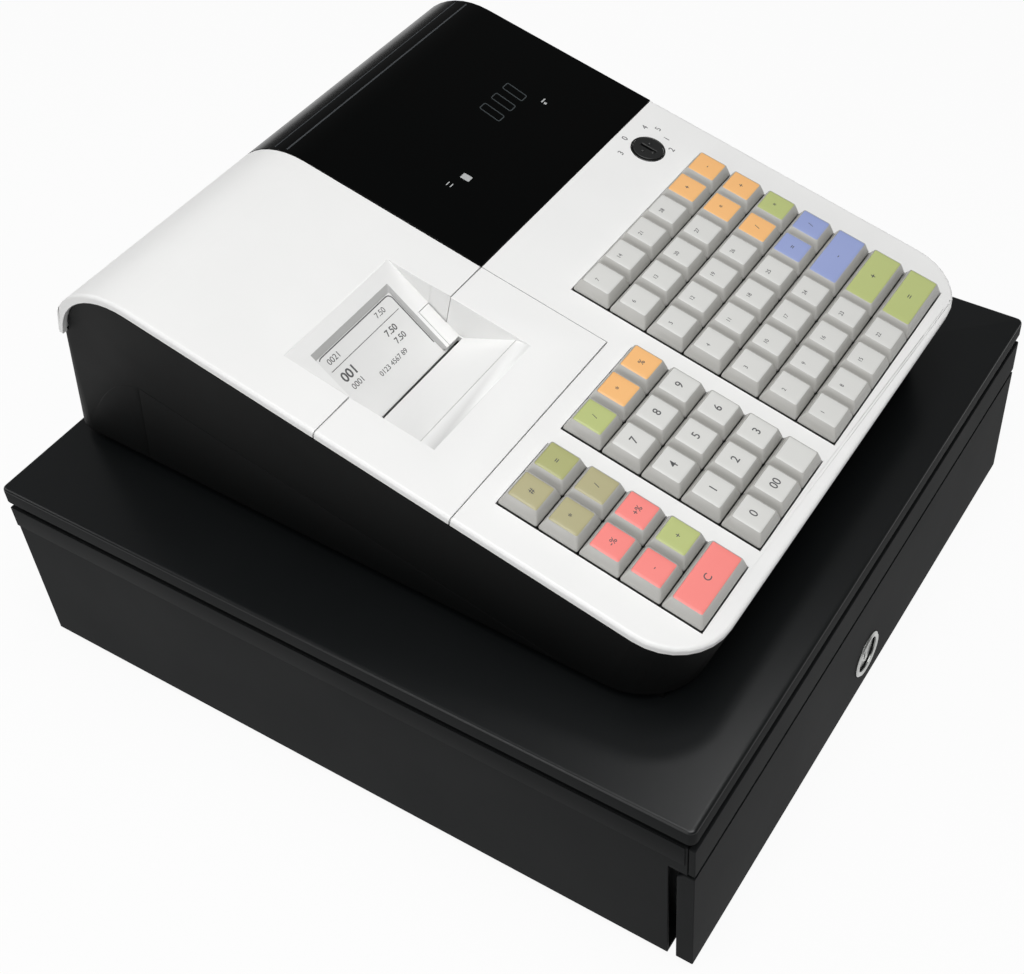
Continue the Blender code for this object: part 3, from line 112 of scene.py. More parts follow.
floor_mesh = bpy.data.meshes.new("studio_floor")
floor_mesh.from_pydata([(-FLOOR_HALF, -FLOOR_HALF, 0), (FLOOR_HALF, -FLOOR_HALF, 0),
                        (FLOOR_HALF, FLOOR_HALF, 0), (-FLOOR_HALF, FLOOR_HALF, 0)], [], [(0, 1, 2, 3)])
floor = bpy.data.objects.new("studio_floor", floor_mesh)
scene.collection.objects.link(floor)
paper_sweep = bpy.data.materials.new("white paper sweep")
paper_sweep.use_nodes = True
tree = paper_sweep.node_tree
tree.nodes.clear()
seen = add_node(tree, "LightPath")
direct = add_node(tree, "Math", wires={0: seen.outputs["Is Camera Ray"],
                                       1: seen.outputs["Is Transmission Ray"]}, operation="MAXIMUM")
either = add_node(tree, "Math", wires={0: direct.outputs[0], 1: seen.outputs["Is Glossy Ray"]},
                  operation="MAXIMUM")
share = add_node(tree, "Math", {1: FLOOR_GLOW_SHARE}, {0: either.outputs[0]}, operation="MULTIPLY")
matte = add_node(tree, "BsdfDiffuse", {"Color": linear(FLOOR_WHITE)})
glow = add_node(tree, "Emission", {"Color": WHITE, "Strength": BACKDROP_STRENGTH})
mixed = add_node(tree, "MixShader", wires={0: share.outputs[0], 1: matte.outputs[0],
                                           2: glow.outputs[0]})
add_node(tree, "OutputMaterial", wires={"Surface": mixed.outputs[0]})
floor_mesh.materials.append(paper_sweep)

world = bpy.data.worlds.new("studio")
world.use_nodes = True
tree = world.node_tree
tree.nodes.clear()
seen = add_node(tree, "LightPath")
room = add_node(tree, "Background", {"Color": WHITE, "Strength": ROOM_STRENGTH})
behind = add_node(tree, "Background", {"Color": WHITE, "Strength": BACKDROP_STRENGTH})
mixed = add_node(tree, "MixShader", wires={0: seen.outputs["Is Camera Ray"], 1: room.outputs[0],
                                           2: behind.outputs[0]})
add_node(tree, "OutputWorld", wires={"Surface": mixed.outputs[0]})
scene.world = world

# Each lamp's place and target, its side in metres and its power in watts
LAMPS = {
    "overhead_softbox": ((-0.30, -0.35, 1.35), (0.0, 0.0, 0.1), 1.00, 13.9),
    "glow_softbox": ((0.33, -0.04, 1.35), (0.0, 0.0, 0.1), 0.16, 1.0),
    "left_softbox": ((-1.60, 0.30, 0.70), (0.0, 0.0, 0.1), 0.80, 5.5),
    "rear_softbox": ((-0.50, 1.40, 1.00), (0.0, 0.1, 0.15), 0.80, 4.0),
}
for name, (place, target, size, power) in LAMPS.items():
    lamp = bpy.data.lights.new(name, "AREA")
    lamp.size = size
    lamp.energy = power
    holder = bpy.data.objects.new(name, lamp)
    aim = (Vector(target) - Vector(place)).to_track_quat("-Z", "Y")
    holder.matrix_world = Matrix.Translation(place) @ aim.to_matrix().to_4x4()
    scene.collection.objects.link(holder)

# Cabinet lid
# A pressed steel lid with a turned-down lip, sprayed with black powder that bakes to a fine orange
# peel. A recessed ring under the lip leaves the dark groove that runs round the cabinet.
BROAD_SHARE = 0.02                       # the patches are this share of the grain's frequency
FINE_DETAIL, BROAD_DETAIL = 3.0, 4.0     # octaves of the two noises


def coated(name, colours, roughness, grain, relief, metallic=0.0, ior=1.5, gloss_change=0.08,
           reflection=0.5):
    """A coated or moulded surface: broad noise moves its colour and gloss, and noise of the grain its
    height. Grain and relief are in millimetres."""
    made = bpy.data.materials.new(name)
    made.use_nodes = True
    tree = made.node_tree
    shader = tree.nodes["Principled BSDF"]
    shader.inputs["Metallic"].default_value = metallic
    shader.inputs["IOR"].default_value = ior
    shader.inputs["Specular IOR Level"].default_value = reflection
    where = add_node(tree, "TexCoord")
    fine = add_node(tree, "TexNoise", {"Scale": 1 / (grain * MM), "Detail": FINE_DETAIL},
                    {"Vector": where.outputs["Object"]})
    broad = add_node(tree, "TexNoise", {"Scale": BROAD_SHARE / (grain * MM), "Detail": BROAD_DETAIL},
                     {"Vector": where.outputs["Object"]})
    # Sockets 6 and 7 of a colour mix are its two colours
    blend = add_node(tree, "Mix", {6: linear(colours[0]), 7: linear(colours[1])},
                     {0: broad.outputs["Fac"]}, data_type="RGBA")
    shine = add_node(tree, "MapRange", {"To Min": roughness - gloss_change,
                                        "To Max": roughness + gloss_change}, {"Value": broad.outputs["Fac"]})
    bumps = add_node(tree, "Bump", {"Strength": 1.0, "Distance": relief * MM},
                     {"Height": fine.outputs["Fac"]})
    tree.links.new(blend.outputs[2], shader.inputs["Base Color"])
    tree.links.new(shine.outputs["Result"], shader.inputs["Roughness"])
    tree.links.new(bumps.outputs["Normal"], shader.inputs["Normal"])
    return made


def rounded_ring(left, right, front, back, radius, height, steps=6):
    """A level rounded rectangle: quarter circles about four corner centres, anticlockwise from the right."""
    turns = np.linspace(0, math.pi / 2, steps + 1)[None, :] + np.arange(4)[:, None] * math.pi / 2
    middle_x = np.array([right - radius, left + radius, left + radius, right - radius])[:, None]
    middle_y = np.array([back - radius, back - radius, front + radius, front + radius])[:, None]
    x, y = middle_x + radius * np.cos(turns), middle_y + radius * np.sin(turns)
    return np.stack((x, y, np.full_like(x, height)), axis=-1).reshape(-1, 3)


def link_piece(name, mesh, sharp=None):
    """Links a mesh as a new object. Its faces are smooth but for edges sharper than an angle in degrees."""
    if sharp is not None:
        mesh.shade_smooth()
        mesh.set_sharp_from_angle(angle=math.radians(sharp))
    piece = bpy.data.objects.new(name, mesh)
    scene.collection.objects.link(piece)
    return piece


def skin(name, stacks, sharp=35.0):
    """Closed skins over stacks of rings: each ring joins the next point by point, and the ends are filled."""
    points, faces, first = [], [], 0
    for rings in stacks:
        rings = np.asarray(rings, float)
        count, around = rings.shape[:2]
        row, column = np.meshgrid(np.arange(count - 1), np.arange(around), indexing="ij")
        a = first + row * around + column
        b = first + row * around + (column + 1) % around
        faces += np.stack((a, b, b + around, a + around), axis=-1).reshape(-1, 4).tolist()
        last = first + (count - 1) * around
        faces += [list(range(first + around - 1, first - 1, -1)), list(range(last, last + around))]
        points.append(rings.reshape(-1, 3))
        first += count * around
    mesh = bpy.data.meshes.new(name)
    mesh.from_pydata(np.concatenate(points), [], faces)
    return link_piece(name, mesh, sharp)


def fit(piece, finish, body, slot, *nodes):
    """Gives a piece its finish and its body, and hides the nodes that it stands for. The slot is not used."""
    piece.data.materials.clear()
    piece.data.materials.append(finish)
    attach(piece, body)
    if nodes:
        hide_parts(*nodes)
    return piece


# Polyester powder bakes to a fine orange peel, drawn at 1.6 mm so that it shows from a step away
powder_coat = coated("black polyester powder coat", ("#0a0c0d", "#0f1112"), 0.30, 1.6, 0.015,
                     gloss_change=0.02, reflection=0.4)
matt_coat = coated("matt black polyester powder coat", ("#0a0c0d", "#0f1112"), 0.78, 1.6, 0.035,
                   reflection=0.2)

lid_low, lid_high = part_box("cabinet_top")
LIP_DEPTH = 8.6 * MM
LID_EDGE = 1.6 * MM
LID_CORNER = 3.2 * MM
GROOVE_INSET = 3.3 * MM
GROOVE_FLARE = 1.5 * MM
LIP_INSET = 0.5 * MM
LIP_EDGE = 0.6 * MM
LIP_SLOPE_SHARE = 0.35                   # faces steeper than this are the lip's
groove_foot = lid_low.z


def rectangle_rings(low, high, corner, steps):
    """Rings of one rectangle for a list of (inset, height): the corner shrinks with the inset."""
    return [rounded_ring(low[0] + inset, high[0] - inset, low[1] + inset, high[1] - inset,
                         max(corner - inset, corner / 4), height) for inset, height in steps]


quarter = np.linspace(0, math.pi / 2, 6)
lid_steps = [(GROOVE_INSET + GROOVE_FLARE, groove_foot), (GROOVE_INSET, groove_foot),
             (GROOVE_INSET, lid_high.z - LIP_DEPTH), (LIP_INSET, lid_high.z - LIP_DEPTH),
             (0.0, lid_high.z - LIP_DEPTH + LIP_EDGE)]
lid_steps += [(LID_EDGE * (1 - math.cos(a)), lid_high.z - LID_EDGE * (1 - math.sin(a))) for a in quarter]
lid = skin("lid", [rectangle_rings(lid_low, lid_high, LID_CORNER, lid_steps)])
fit(lid, powder_coat, "register", "cabinet_black", "cabinet_top")
# The lip, the groove and the underside have the matt coat of the cabinet's sides
lid.data.materials.append(matt_coat)
slopes = np.empty(len(lid.data.polygons) * 3)
lid.data.polygons.foreach_get("normal", slopes)
lid.data.polygons.foreach_set("material_index", (slopes[2::3] < LIP_SLOPE_SHARE).astype(int))

# Cabinet shell, header strip and side bands
# The shell is folded from 1.5 mm sheet and coated matt black. A second sheet overlaps the top of
# its sides and ends in a faint line; the header strip closes the front over the drawer.
WELD_GAP = 0.002 * MM
FLAT_TURN = 0.6                          # degrees between faces that count as one flat face


def eased(name, node, width, angle=32.0, segments=2):
    """A node's own surface, welded, with its sharp edges rounded to width."""
    shape = bmesh.new()
    shape.from_mesh(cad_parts[node].data)
    bmesh.ops.remove_doubles(shape, verts=shape.verts, dist=WELD_GAP)
    bmesh.ops.dissolve_limit(shape, angle_limit=math.radians(FLAT_TURN), verts=shape.verts[:],
                             edges=shape.edges[:])
    mesh = bpy.data.meshes.new(name)
    shape.to_mesh(mesh)
    shape.free()
    piece = link_piece(name, mesh, angle)
    soft = piece.modifiers.new("eased edges", "BEVEL")
    soft.width = width
    soft.segments = segments
    soft.limit_method = "ANGLE"
    soft.angle_limit = math.radians(angle)
    soft.harden_normals = True
    return piece


def dress(name, node, edge, finish, body, slot, **choices):
    """Fits a node's own surface in its place, its edges rounded to so many millimetres."""
    return fit(eased(name, node, edge * MM, **choices), finish, body, slot, node)


dress("shell", "cabinet_shell", 0.5, matt_coat, "register", "cabinet_black")
dress("header_strip", "front_header", 0.6, matt_coat, "register", "cabinet_black")

shell_low, shell_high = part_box("cabinet_shell")
BAND_FOOT = 79.5 * MM
BAND_SHEET = 0.5 * MM
BAND_FRONT = 1.0 * MM
BAND_EDGE = 0.2 * MM
band_x = shell_high.x
band_high = shell_high.z - BAND_EDGE


def level_bar(low, high, edge, steps=3):
    """Rings of a bar with rounded edges, from its bottom to its top."""
    heights = [(edge * (1 - math.sin(a)), low[2] + edge * (1 - math.cos(a)))
               for a in np.linspace(0, math.pi / 2, steps + 1)]
    heights += [(inset, low[2] + high[2] - height) for inset, height in heights[::-1]]
    return [rounded_ring(low[0] + inset, high[0] - inset, low[1] + inset, high[1] - inset,
                         max(edge - inset, edge / 5), height, 3) for inset, height in heights]


bands = [level_bar((side * (band_x + BAND_SHEET / 2) - BAND_SHEET / 2, shell_low.y + BAND_FRONT, BAND_FOOT),
                   (side * (band_x + BAND_SHEET / 2) + BAND_SHEET / 2, shell_high.y, band_high), BAND_EDGE)
         for side in (-1, 1)]
bands.append(level_bar((-band_x - BAND_SHEET, shell_high.y, BAND_FOOT),
                       (band_x + BAND_SHEET, shell_high.y + BAND_SHEET, band_high), BAND_EDGE))
fit(skin("side_bands", bands), matt_coat, "register", "cabinet_black")

# Drawer front and its lock
# A thick coated panel whose rear top edge is bevelled for the fingers. The lock is a nickelled
# barrel behind a bright escutcheon, pressed into a hole in the middle of the panel.
dress("drawer_panel", "drawer_front", 0.9, matt_coat, "drawer", "cabinet_black", segments=3)


def turned(profile, centre, axis, around=48):
    """Rings of a turned piece: each (radius, height) of the profile is a circle about the axis."""
    axis = np.asarray(Vector(axis).normalized())
    aside = np.asarray(Vector(axis).orthogonal().normalized())
    over = np.cross(axis, aside)
    angles = np.linspace(0, 2 * math.pi, around, endpoint=False)[None, :, None]
    profile = np.asarray(profile, float)
    radius, height = profile[:, 0, None, None], profile[:, 1, None, None]
    return np.asarray(centre) + radius * (np.cos(angles) * aside + np.sin(angles) * over) + height * axis


# Bright nickel plate over zinc: a smooth mirror, slightly blurred by polishing
nickel = coated("polished nickel plate", ("#a9aaa8", "#c3c4c2"), 0.28, 0.8, 0.01, metallic=1.0)
LOCK_RADIUS = 8.5 * MM
LOCK_HEIGHT = 27.5 * MM
panel_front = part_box("drawer_front")[0].y
dress("drawer_lock_barrel", "drawer_lock", 0.35, nickel, "drawer_lock", "lock_black")
ROSE_RADIUS = 11.5 * MM
ROSE_PROUD = 1.1 * MM
ROSE_BORE = LOCK_RADIUS + 0.4 * MM
ROSE_FOOT = 0.05 * MM
ROSE_RIM = 0.4 * MM
ROSE_EASE = 0.8 * MM
BORE_EASE = 0.5 * MM
rose_profile = [(ROSE_BORE, ROSE_FOOT), (ROSE_RADIUS, ROSE_FOOT), (ROSE_RADIUS, ROSE_RIM),
                (ROSE_RADIUS - ROSE_EASE, ROSE_PROUD), (ROSE_BORE + ROSE_EASE, ROSE_PROUD),
                (ROSE_BORE, ROSE_PROUD - BORE_EASE)]


def loop_skin(name, loops, sharp=35.0):
    """Closed skins in which the last ring joins the first, such as a collar or a frame."""
    loops = np.asarray(loops, float)
    number, count, around = loops.shape[:3]
    first, row, column = np.meshgrid(np.arange(number), np.arange(count), np.arange(around), indexing="ij")
    first, after, beside = first * count * around, (row + 1) % count * around, (column + 1) % around
    faces = np.stack((first + row * around + column, first + row * around + beside, first + after + beside,
                      first + after + column), axis=-1)
    mesh = bpy.data.meshes.new(name)
    mesh.from_pydata(loops.reshape(-1, 3), [], faces.reshape(-1, 4).tolist())
    return link_piece(name, mesh, sharp)


rose = loop_skin("lock_rose", [turned(rose_profile[::-1], (0.0, panel_front, LOCK_HEIGHT), (0, -1, 0))])
fit(rose, nickel, "drawer", "lock_black")

# Feet and drawer gear
# Four moulded rubber feet under the shell, and behind the front panel a galvanised steel box that
# runs on two folded channel runners, all bent from zinc-coated sheet and spot-welded.
FOOT_BEVEL = (1.2 * MM, 0.3 * MM)        # insets at the floor and at the first step
FOOT_STEPS = (0.5 * MM, 1.4 * MM)        # heights over the floor
FOOT_TOP_EASE = 0.4 * MM
soft_rubber = coated("moulded black rubber", ("#151515", "#1d1d1d"), 0.75, 0.6, 0.02, ior=1.52)
for node in ("foot_front_left", "foot_front_right", "foot_rear_left", "foot_rear_right"):
    low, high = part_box(node)
    radius = (high.x - low.x) / 2
    foot_profile = [(radius - FOOT_BEVEL[0], 0.0), (radius - FOOT_BEVEL[1], FOOT_STEPS[0]),
                    (radius, FOOT_STEPS[1]), (radius, high.z - low.z - FOOT_TOP_EASE),
                    (radius - FOOT_TOP_EASE, high.z - low.z)]
    centre = ((low.x + high.x) / 2, (low.y + high.y) / 2, low.z)
    foot = skin("rubber_" + node, [turned(foot_profile, centre, (0, 0, 1), 32)])
    fit(foot, soft_rubber, "register", "rubber", node)

# Zinc-dipped sheet: dull, with broad patches that shift the gloss
zinc_sheet = coated("galvanised steel sheet", ("#8d9091", "#a3a6a7"), 0.42, 0.9, 0.008,
                    metallic=1.0, gloss_change=0.12)
dress("sheet_drawer_box", "drawer_box", 0.4, zinc_sheet, "drawer", "steel")
for side in ("left", "right"):
    dress("channel_runner_" + side, "runner_" + side, 0.4, zinc_sheet, "register", "steel")

# Till tray and note clips
# The insert is one moulding of dark grey polystyrene with five coin cups and three note bays. Each
# bay has a plated spring clip that turns on a pin between two ears.
tray_plastic = coated("moulded grey polystyrene", ("#3a3c3e", "#434547"), 0.55, 0.7, 0.02, ior=1.59)
dress("moulded_tray", "till_tray", 0.7, tray_plastic, "drawer", "tray_grey")
tray_low, tray_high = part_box("till_tray")
TRAY_WALL = 2.0 * MM
TRAY_FLOOR = 2.0 * MM
CUP_COUNT = 5
CUP_SLOPE_RADIUS = 22.0 * MM
CLIP_COUNT = 3
RAMP_GAP = 0.05 * MM


def scoop(left, right, front, floor, radius, steps=10):
    """Rings of a coin ramp: one section along x, a hollow quarter circle in the cup's front corner."""
    bends = np.linspace(0, math.pi / 2, steps)
    y = np.concatenate(([front], front + radius * (1 - np.cos(bends))))
    z = np.concatenate(([floor], floor + radius * (1 - np.sin(bends))))
    section = np.stack((y, z), axis=-1)
    return np.stack([np.column_stack((np.full(len(section), x), section)) for x in (left, right)])


cup_width = (tray_high.x - tray_low.x - (CUP_COUNT + 1) * TRAY_WALL) / CUP_COUNT
ramps = []
for number in range(CUP_COUNT):
    cup_left = tray_low.x + TRAY_WALL + number * (cup_width + TRAY_WALL)
    ramps.append(scoop(cup_left + RAMP_GAP, cup_left + cup_width - RAMP_GAP,
                       tray_low.y + TRAY_WALL + RAMP_GAP, tray_low.z + TRAY_FLOOR + RAMP_GAP,
                       CUP_SLOPE_RADIUS))
fit(skin("coin_ramps", ramps), tray_plastic, "drawer", "tray_grey")

spring_steel = coated("nickel plated spring steel", ("#9fa09f", "#b4b5b3"), 0.3, 0.7, 0.006,
                      metallic=1.0)
for number in range(1, CLIP_COUNT + 1):
    node = "note_clip_%d" % number
    dress("spring_clip_%d" % number, node, 0.35, spring_steel, node, "steel")

# Latch and solenoid
# A punched hook of zinc-coated sheet swings on a pin in the shell's floor. The coil beside it, in a
# folded yoke and under yellow tape, pulls it to let the drawer out.
dress("latch_hook", "latch_lever", 0.4, zinc_sheet, "latch_lever", "steel")
coil_low, coil_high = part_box("release_solenoid")
coil_tape = coated("yellow polyester coil tape", ("#a98a2f", "#bb9c3e"), 0.45, 0.5, 0.02)
SOLENOID_YOKE = 1.6 * MM
COIL_INSET = 5 * MM
COIL_PROUD = 0.25 * MM
COIL_EDGE = 1.2 * MM
dress("solenoid_yoke", "release_solenoid", 0.5, zinc_sheet, "register", "steel")
wrap = level_bar((coil_low.x + COIL_INSET, coil_low.y - COIL_PROUD, coil_low.z + SOLENOID_YOKE),
                 (coil_high.x - COIL_INSET, coil_high.y + COIL_PROUD, coil_high.z + COIL_PROUD), COIL_EDGE)
fit(skin("solenoid_winding", [wrap]), coil_tape, "register", "steel")

# Lower case
# The black tub is one moulding of ABS with a fine spark-eroded texture. Its top edge follows the
# slope and the nose, and low panels on both sides leave a seam near the rear.
SLOPE = math.radians(14.25)
SLOPE_SETBACK = 18.55 * MM
SLOPE_RISE = 43.1 * MM
CASE_HALF = 131.1 * MM
CASE_DRAFT_SHARE = 0.094
RIM_DEPTH = 4.0 * MM
slope_place = (Matrix.Translation((0.0, lid_low.y + SLOPE_SETBACK, lid_high.z + SLOPE_RISE))
               @ Matrix.Rotation(SLOPE, 4, "X"))


def placed(points, place):
    """Points given in a place's own directions, moved to the model's: a turn and a shift."""
    place = np.array(place)
    return np.asarray(points, float) @ place[:3, :3].T + place[:3, 3]


textured_abs = coated("spark-textured black ABS", ("#030404", "#060707"), 0.6, 0.9, 0.03, ior=1.54,
                      reflection=0.1)
dress("case_tub", "lower_case", 0.6, textured_abs, "register", "case_black")

PANEL_SEAM = 268.0 * MM                  # place of the seam along the slope
PANEL_TOP = -52.0 * MM                   # top edge of the low panels, square to the slope
PANEL_PROUD = 0.1 * MM
PANEL_ROOT = 0.2 * MM
PANEL_EASE = 0.4 * MM
PANEL_FOOT_GAP = 0.8 * MM
PANEL_TIP_GAP = 0.3 * MM
FOOT_BLOCK = 5.0 * MM                    # the case stands this far over the lid
SEAM_WIDTH = 0.7 * MM
FRONT_TOE = 4 * MM
REAR_SWEEP, REAR_DROP, REAR_BULGE = 35.0 * MM, 57.0 * MM, 12.0 * MM
case_foot_drop = (SLOPE_RISE - FOOT_BLOCK) / math.cos(SLOPE)


def low_edge(v):
    """The panels' lower edge, square to the slope: a level line just over the case's foot."""
    return -case_foot_drop - v * math.tan(SLOPE) + PANEL_FOOT_GAP


def side_panel(outline, side):
    """Rings of a thin panel on the drawn-in side wall: its outline in v and w, at three heights over it."""
    outline = np.asarray(outline, float)
    wall = CASE_HALF - CASE_DRAFT_SHARE * (-outline[:, 1] - RIM_DEPTH)
    middle = outline.mean(axis=0)
    rings = []
    for proud, inset in ((-PANEL_ROOT, 0.0), (0.6 * PANEL_PROUD, 0.0), (PANEL_PROUD, PANEL_EASE)):
        pull = middle - outline
        pull /= np.linalg.norm(pull, axis=1, keepdims=True)
        v, w = (outline + pull * inset).T
        rings.append(np.column_stack((side * (wall + proud), v, w)))
    return placed(rings if side > 0 else [ring[::-1] for ring in rings], slope_place)


front_reach = (-PANEL_TOP - case_foot_drop) / math.tan(SLOPE) + FRONT_TOE
front_v = np.linspace(front_reach, PANEL_SEAM - SEAM_WIDTH / 2, 24)
front_panel = [(v, low_edge(v)) for v in front_v] + [(v, PANEL_TOP) for v in front_v[::-1]]
bulge = np.linspace(0, 1, 14)
rear_v = PANEL_SEAM + SEAM_WIDTH / 2 + REAR_SWEEP * bulge
rear_w = PANEL_TOP - REAR_DROP * bulge + REAR_BULGE * np.sin(math.pi * bulge)
rear_w = np.maximum(rear_w, low_edge(rear_v) + PANEL_TIP_GAP)
rear_panel = [(v, low_edge(v)) for v in rear_v] + list(zip(rear_v[::-1], rear_w[::-1]))
panels = [side_panel(outline, side) for outline in (front_panel, rear_panel) for side in (-1, 1)]
fit(skin("side_panels", panels, 12.0), textured_abs, "register", "case_black")

# Upper case, printer cover and roll cover
# Three tiles of satin white ABS lie over the tub. Their outer edge is rounded like the lip of a tray,
# and 0.4 mm seams part them; the two covers draw off upwards for the paper and the print head.
NOSE_START = 270.0 * MM
NOSE_RADIUS = 38.5 * MM
FRONT_CORNER = 28.0 * MM
RIM_ROUND = 1.7 * MM
TILE_ROUND = 0.3 * MM
RIM_END = 304.0 * MM                     # the rounding fades out over RIM_FADE in front of this place
RIM_FADE = 14.0 * MM
FACE_DEPTH = 1.0 * MM                    # edges deeper than this inside the tile stay sharp
SAME_PLACE = 0.08 * MM                   # a corner nearer than this lies on the surface
RIM_STEPS = 4
satin_abs = coated("satin white ABS", ("#e9e9e8", "#eeeeed"), 0.42, 0.8, 0.012, ior=1.54)


def tile_depth(v, w):
    """Depth under the tiles' outer face: square to the slope, and along the radius round the nose."""
    beyond = np.maximum(v - NOSE_START, 0.0)
    return np.where(v < NOSE_START, -w, NOSE_RADIUS - np.hypot(beyond, w + NOSE_RADIUS))


def wall_distance(x, v):
    """Distance in from the outer wall: the nearer of side and front, along the radius at a corner."""
    side_gap = CASE_HALF - np.abs(x)
    corner = FRONT_CORNER - np.hypot(FRONT_CORNER - side_gap, FRONT_CORNER - v)
    return np.where((side_gap < FRONT_CORNER) & (v < FRONT_CORNER), corner, np.minimum(side_gap, v))


def round_rim(piece, fine):
    """Weighs a tile's bevel: full on its outer rim, fading towards the nose's foot, fine on the other
    sharp edges of its face and outer wall, and none inside."""
    mesh = piece.data
    corners = np.empty(len(mesh.vertices) * 3)
    mesh.vertices.foreach_get("co", corners)
    ends = np.empty(len(mesh.edges) * 2, int)
    mesh.edges.foreach_get("vertices", ends)
    back = np.array(slope_place.inverted())
    local = corners.reshape(-1, 3) @ back[:3, :3].T + back[:3, 3]
    ends = ends.reshape(-1, 2)
    x, v, w = local.T
    depth = tile_depth(v, w)
    on_wall = np.abs(wall_distance(x, v)) < SAME_PLACE
    rim = (on_wall & (np.abs(depth) < SAME_PLACE))[ends].all(axis=1)
    fade = np.clip((RIM_END - v[ends].max(axis=1)) / RIM_FADE, 0.0, 1.0)
    marked = mesh.attributes.get("sharp_edge")
    sharp = np.zeros(len(mesh.edges), bool)
    if marked:
        marked.data.foreach_get("value", sharp)
    change = piece.modifiers["eased edges"]
    length = np.linalg.norm(local[ends[:, 0]] - local[ends[:, 1]], axis=1)
    on_face = (depth < FACE_DEPTH)[ends].all(axis=1) & (length > 2 * fine)
    least = fine / change.width
    weights = np.where(sharp & (on_face | on_wall[ends].all(axis=1)), least, 0.0)
    weights = np.where(rim & sharp, least + (1.0 - least) * fade, weights)
    mesh.attributes.new("bevel_weight_edge", "FLOAT", "EDGE").data.foreach_set("value", weights)
    change.limit_method = "WEIGHT"
    change.use_clamp_overlap = False
    change.segments = RIM_STEPS
    return piece


for name, node, body in (("keyboard_tile", "upper_case", "register"),
                         ("printer_tile", "printer_cover", "printer_cover"),
                         ("roll_tile", "roll_cover", "roll_cover")):
    tile = round_rim(eased(name, node, RIM_ROUND, angle=12.0), TILE_ROUND)
    fit(tile, satin_abs, body, "case_white", node)

# Display window
# A tile of smoked acrylic that bends down over the nose, polished on the outside. It looks black; the
# display's segments and a few small signs show faintly on it, and two fine ribs in the grey of painted
# highlight lines cross the nose.
smoked_acrylic = coated("polished smoked acrylic", ("#010202", "#030303"), 0.24, 3.0, 0.001,
                        ior=1.49, gloss_change=0.02, reflection=0.10)
WINDOW_ROUND = 0.9 * MM
window_tile = round_rim(eased("window_tile", "display_window", WINDOW_ROUND), TILE_ROUND)
fit(window_tile, smoked_acrylic, "register", "window_black", "display_window")

TILE_SPLIT = -14.8 * MM
RIB_LEFT, RIB_RIGHT = TILE_SPLIT + 2 * MM, CASE_HALF - 3 * MM
RIB_ROOT = 0.3 * MM
# Each rib's place round the nose in degrees, its height and its half width
RIBS = ((17.0, 0.25 * MM, 0.45 * MM), (27.5, 0.15 * MM, 0.3 * MM))
ribs = []
for degrees, proud, half in RIBS:
    bend = math.radians(degrees)
    out = np.array([0.0, math.sin(bend), math.cos(bend)])
    foot = np.array([0.0, NOSE_START, -NOSE_RADIUS]) + NOSE_RADIUS * out
    along = np.array([0.0, out[2], -out[1]])
    section = [foot - RIB_ROOT * out - along * half, foot + along * -half, foot + out * proud,
               foot + along * half, foot - RIB_ROOT * out + along * half]
    ends = [np.array(section) + (x, 0, 0) for x in (RIB_LEFT, RIB_RIGHT)]
    ribs.append(placed(ends, slope_place))
# Painted highlight: the ribs' grey stands in for the reflection of a lamp along them
rib_painted_highlight = coated("acrylic rib with painted highlight", ("#3a3d40", "#44474a"), 0.3, 1.0, 0.002)
fit(skin("window_ribs", ribs), rib_painted_highlight, "register", "window_black")

SEGMENT_WIDTH = 0.55 * MM
DIGIT_HEIGHT = 12.5 * MM
DIGIT_WIDTH = 5.2 * MM
DIGIT_PITCH = 9.6 * MM
DIGIT_CORNER = 1.1 * MM
DIGIT_SLANT_SHARE = 0.12
DIGIT_COUNT = 3
DIGIT_START = Vector((66.5 * MM, 220.5 * MM))
PRINT_DEPTH = 0.05 * MM


def zero_digit(left, low):
    """Four rings round the outline of a zero, outer and inner, low and high: x leans with the height."""
    rings = []
    for inset, level in ((0.0, -PRINT_DEPTH), (0.0, PRINT_DEPTH), (SEGMENT_WIDTH, PRINT_DEPTH),
                         (SEGMENT_WIDTH, -PRINT_DEPTH)):
        ring = rounded_ring(inset, DIGIT_WIDTH - inset, inset, DIGIT_HEIGHT - inset, DIGIT_CORNER - inset,
                            level, 3)
        ring[:, 0] += ring[:, 1] * DIGIT_SLANT_SHARE
        rings.append(ring + (left, low, 0.0))
    return placed(rings, slope_place)


digits = [zero_digit(DIGIT_START.x + number * DIGIT_PITCH, DIGIT_START.y) for number in range(DIGIT_COUNT)]
faint_segment = coated("unlit display segment", ("#34393b", "#3c4244"), 0.35, 0.8, 0.001)
fit(loop_skin("display_digits", digits), faint_segment, "register", "display_glass")


def flat_sign(x, v, width, height, round_off):
    """Rings of a small rounded plate printed on the slope."""
    return placed([rounded_ring(x - width / 2, x + width / 2, v - height / 2, v + height / 2, round_off,
                                level, 3) for level in (-PRINT_DEPTH, PRINT_DEPTH)], slope_place)


sign_white = coated("white screen print", ("#a9abab", "#b4b6b6"), 0.5, 0.5, 0.002)
# Each sign's x and v, width, height and corner radius, in millimetres
SIGNS = ((25.8, 211.0, 3.6, 4.6, 0.5), (17.0, 213.0, 2.6, 0.5, 0.2), (17.0, 215.0, 2.6, 0.5, 0.2),
         (93.6, 213.4, 3.2, 0.7, 0.25), (92.6, 211.6, 1.4, 1.4, 0.3))
signs = [flat_sign(*(measure * MM for measure in sign)) for sign in SIGNS]
fit(skin("display_signs", signs), sign_white, "register", "display_glass")
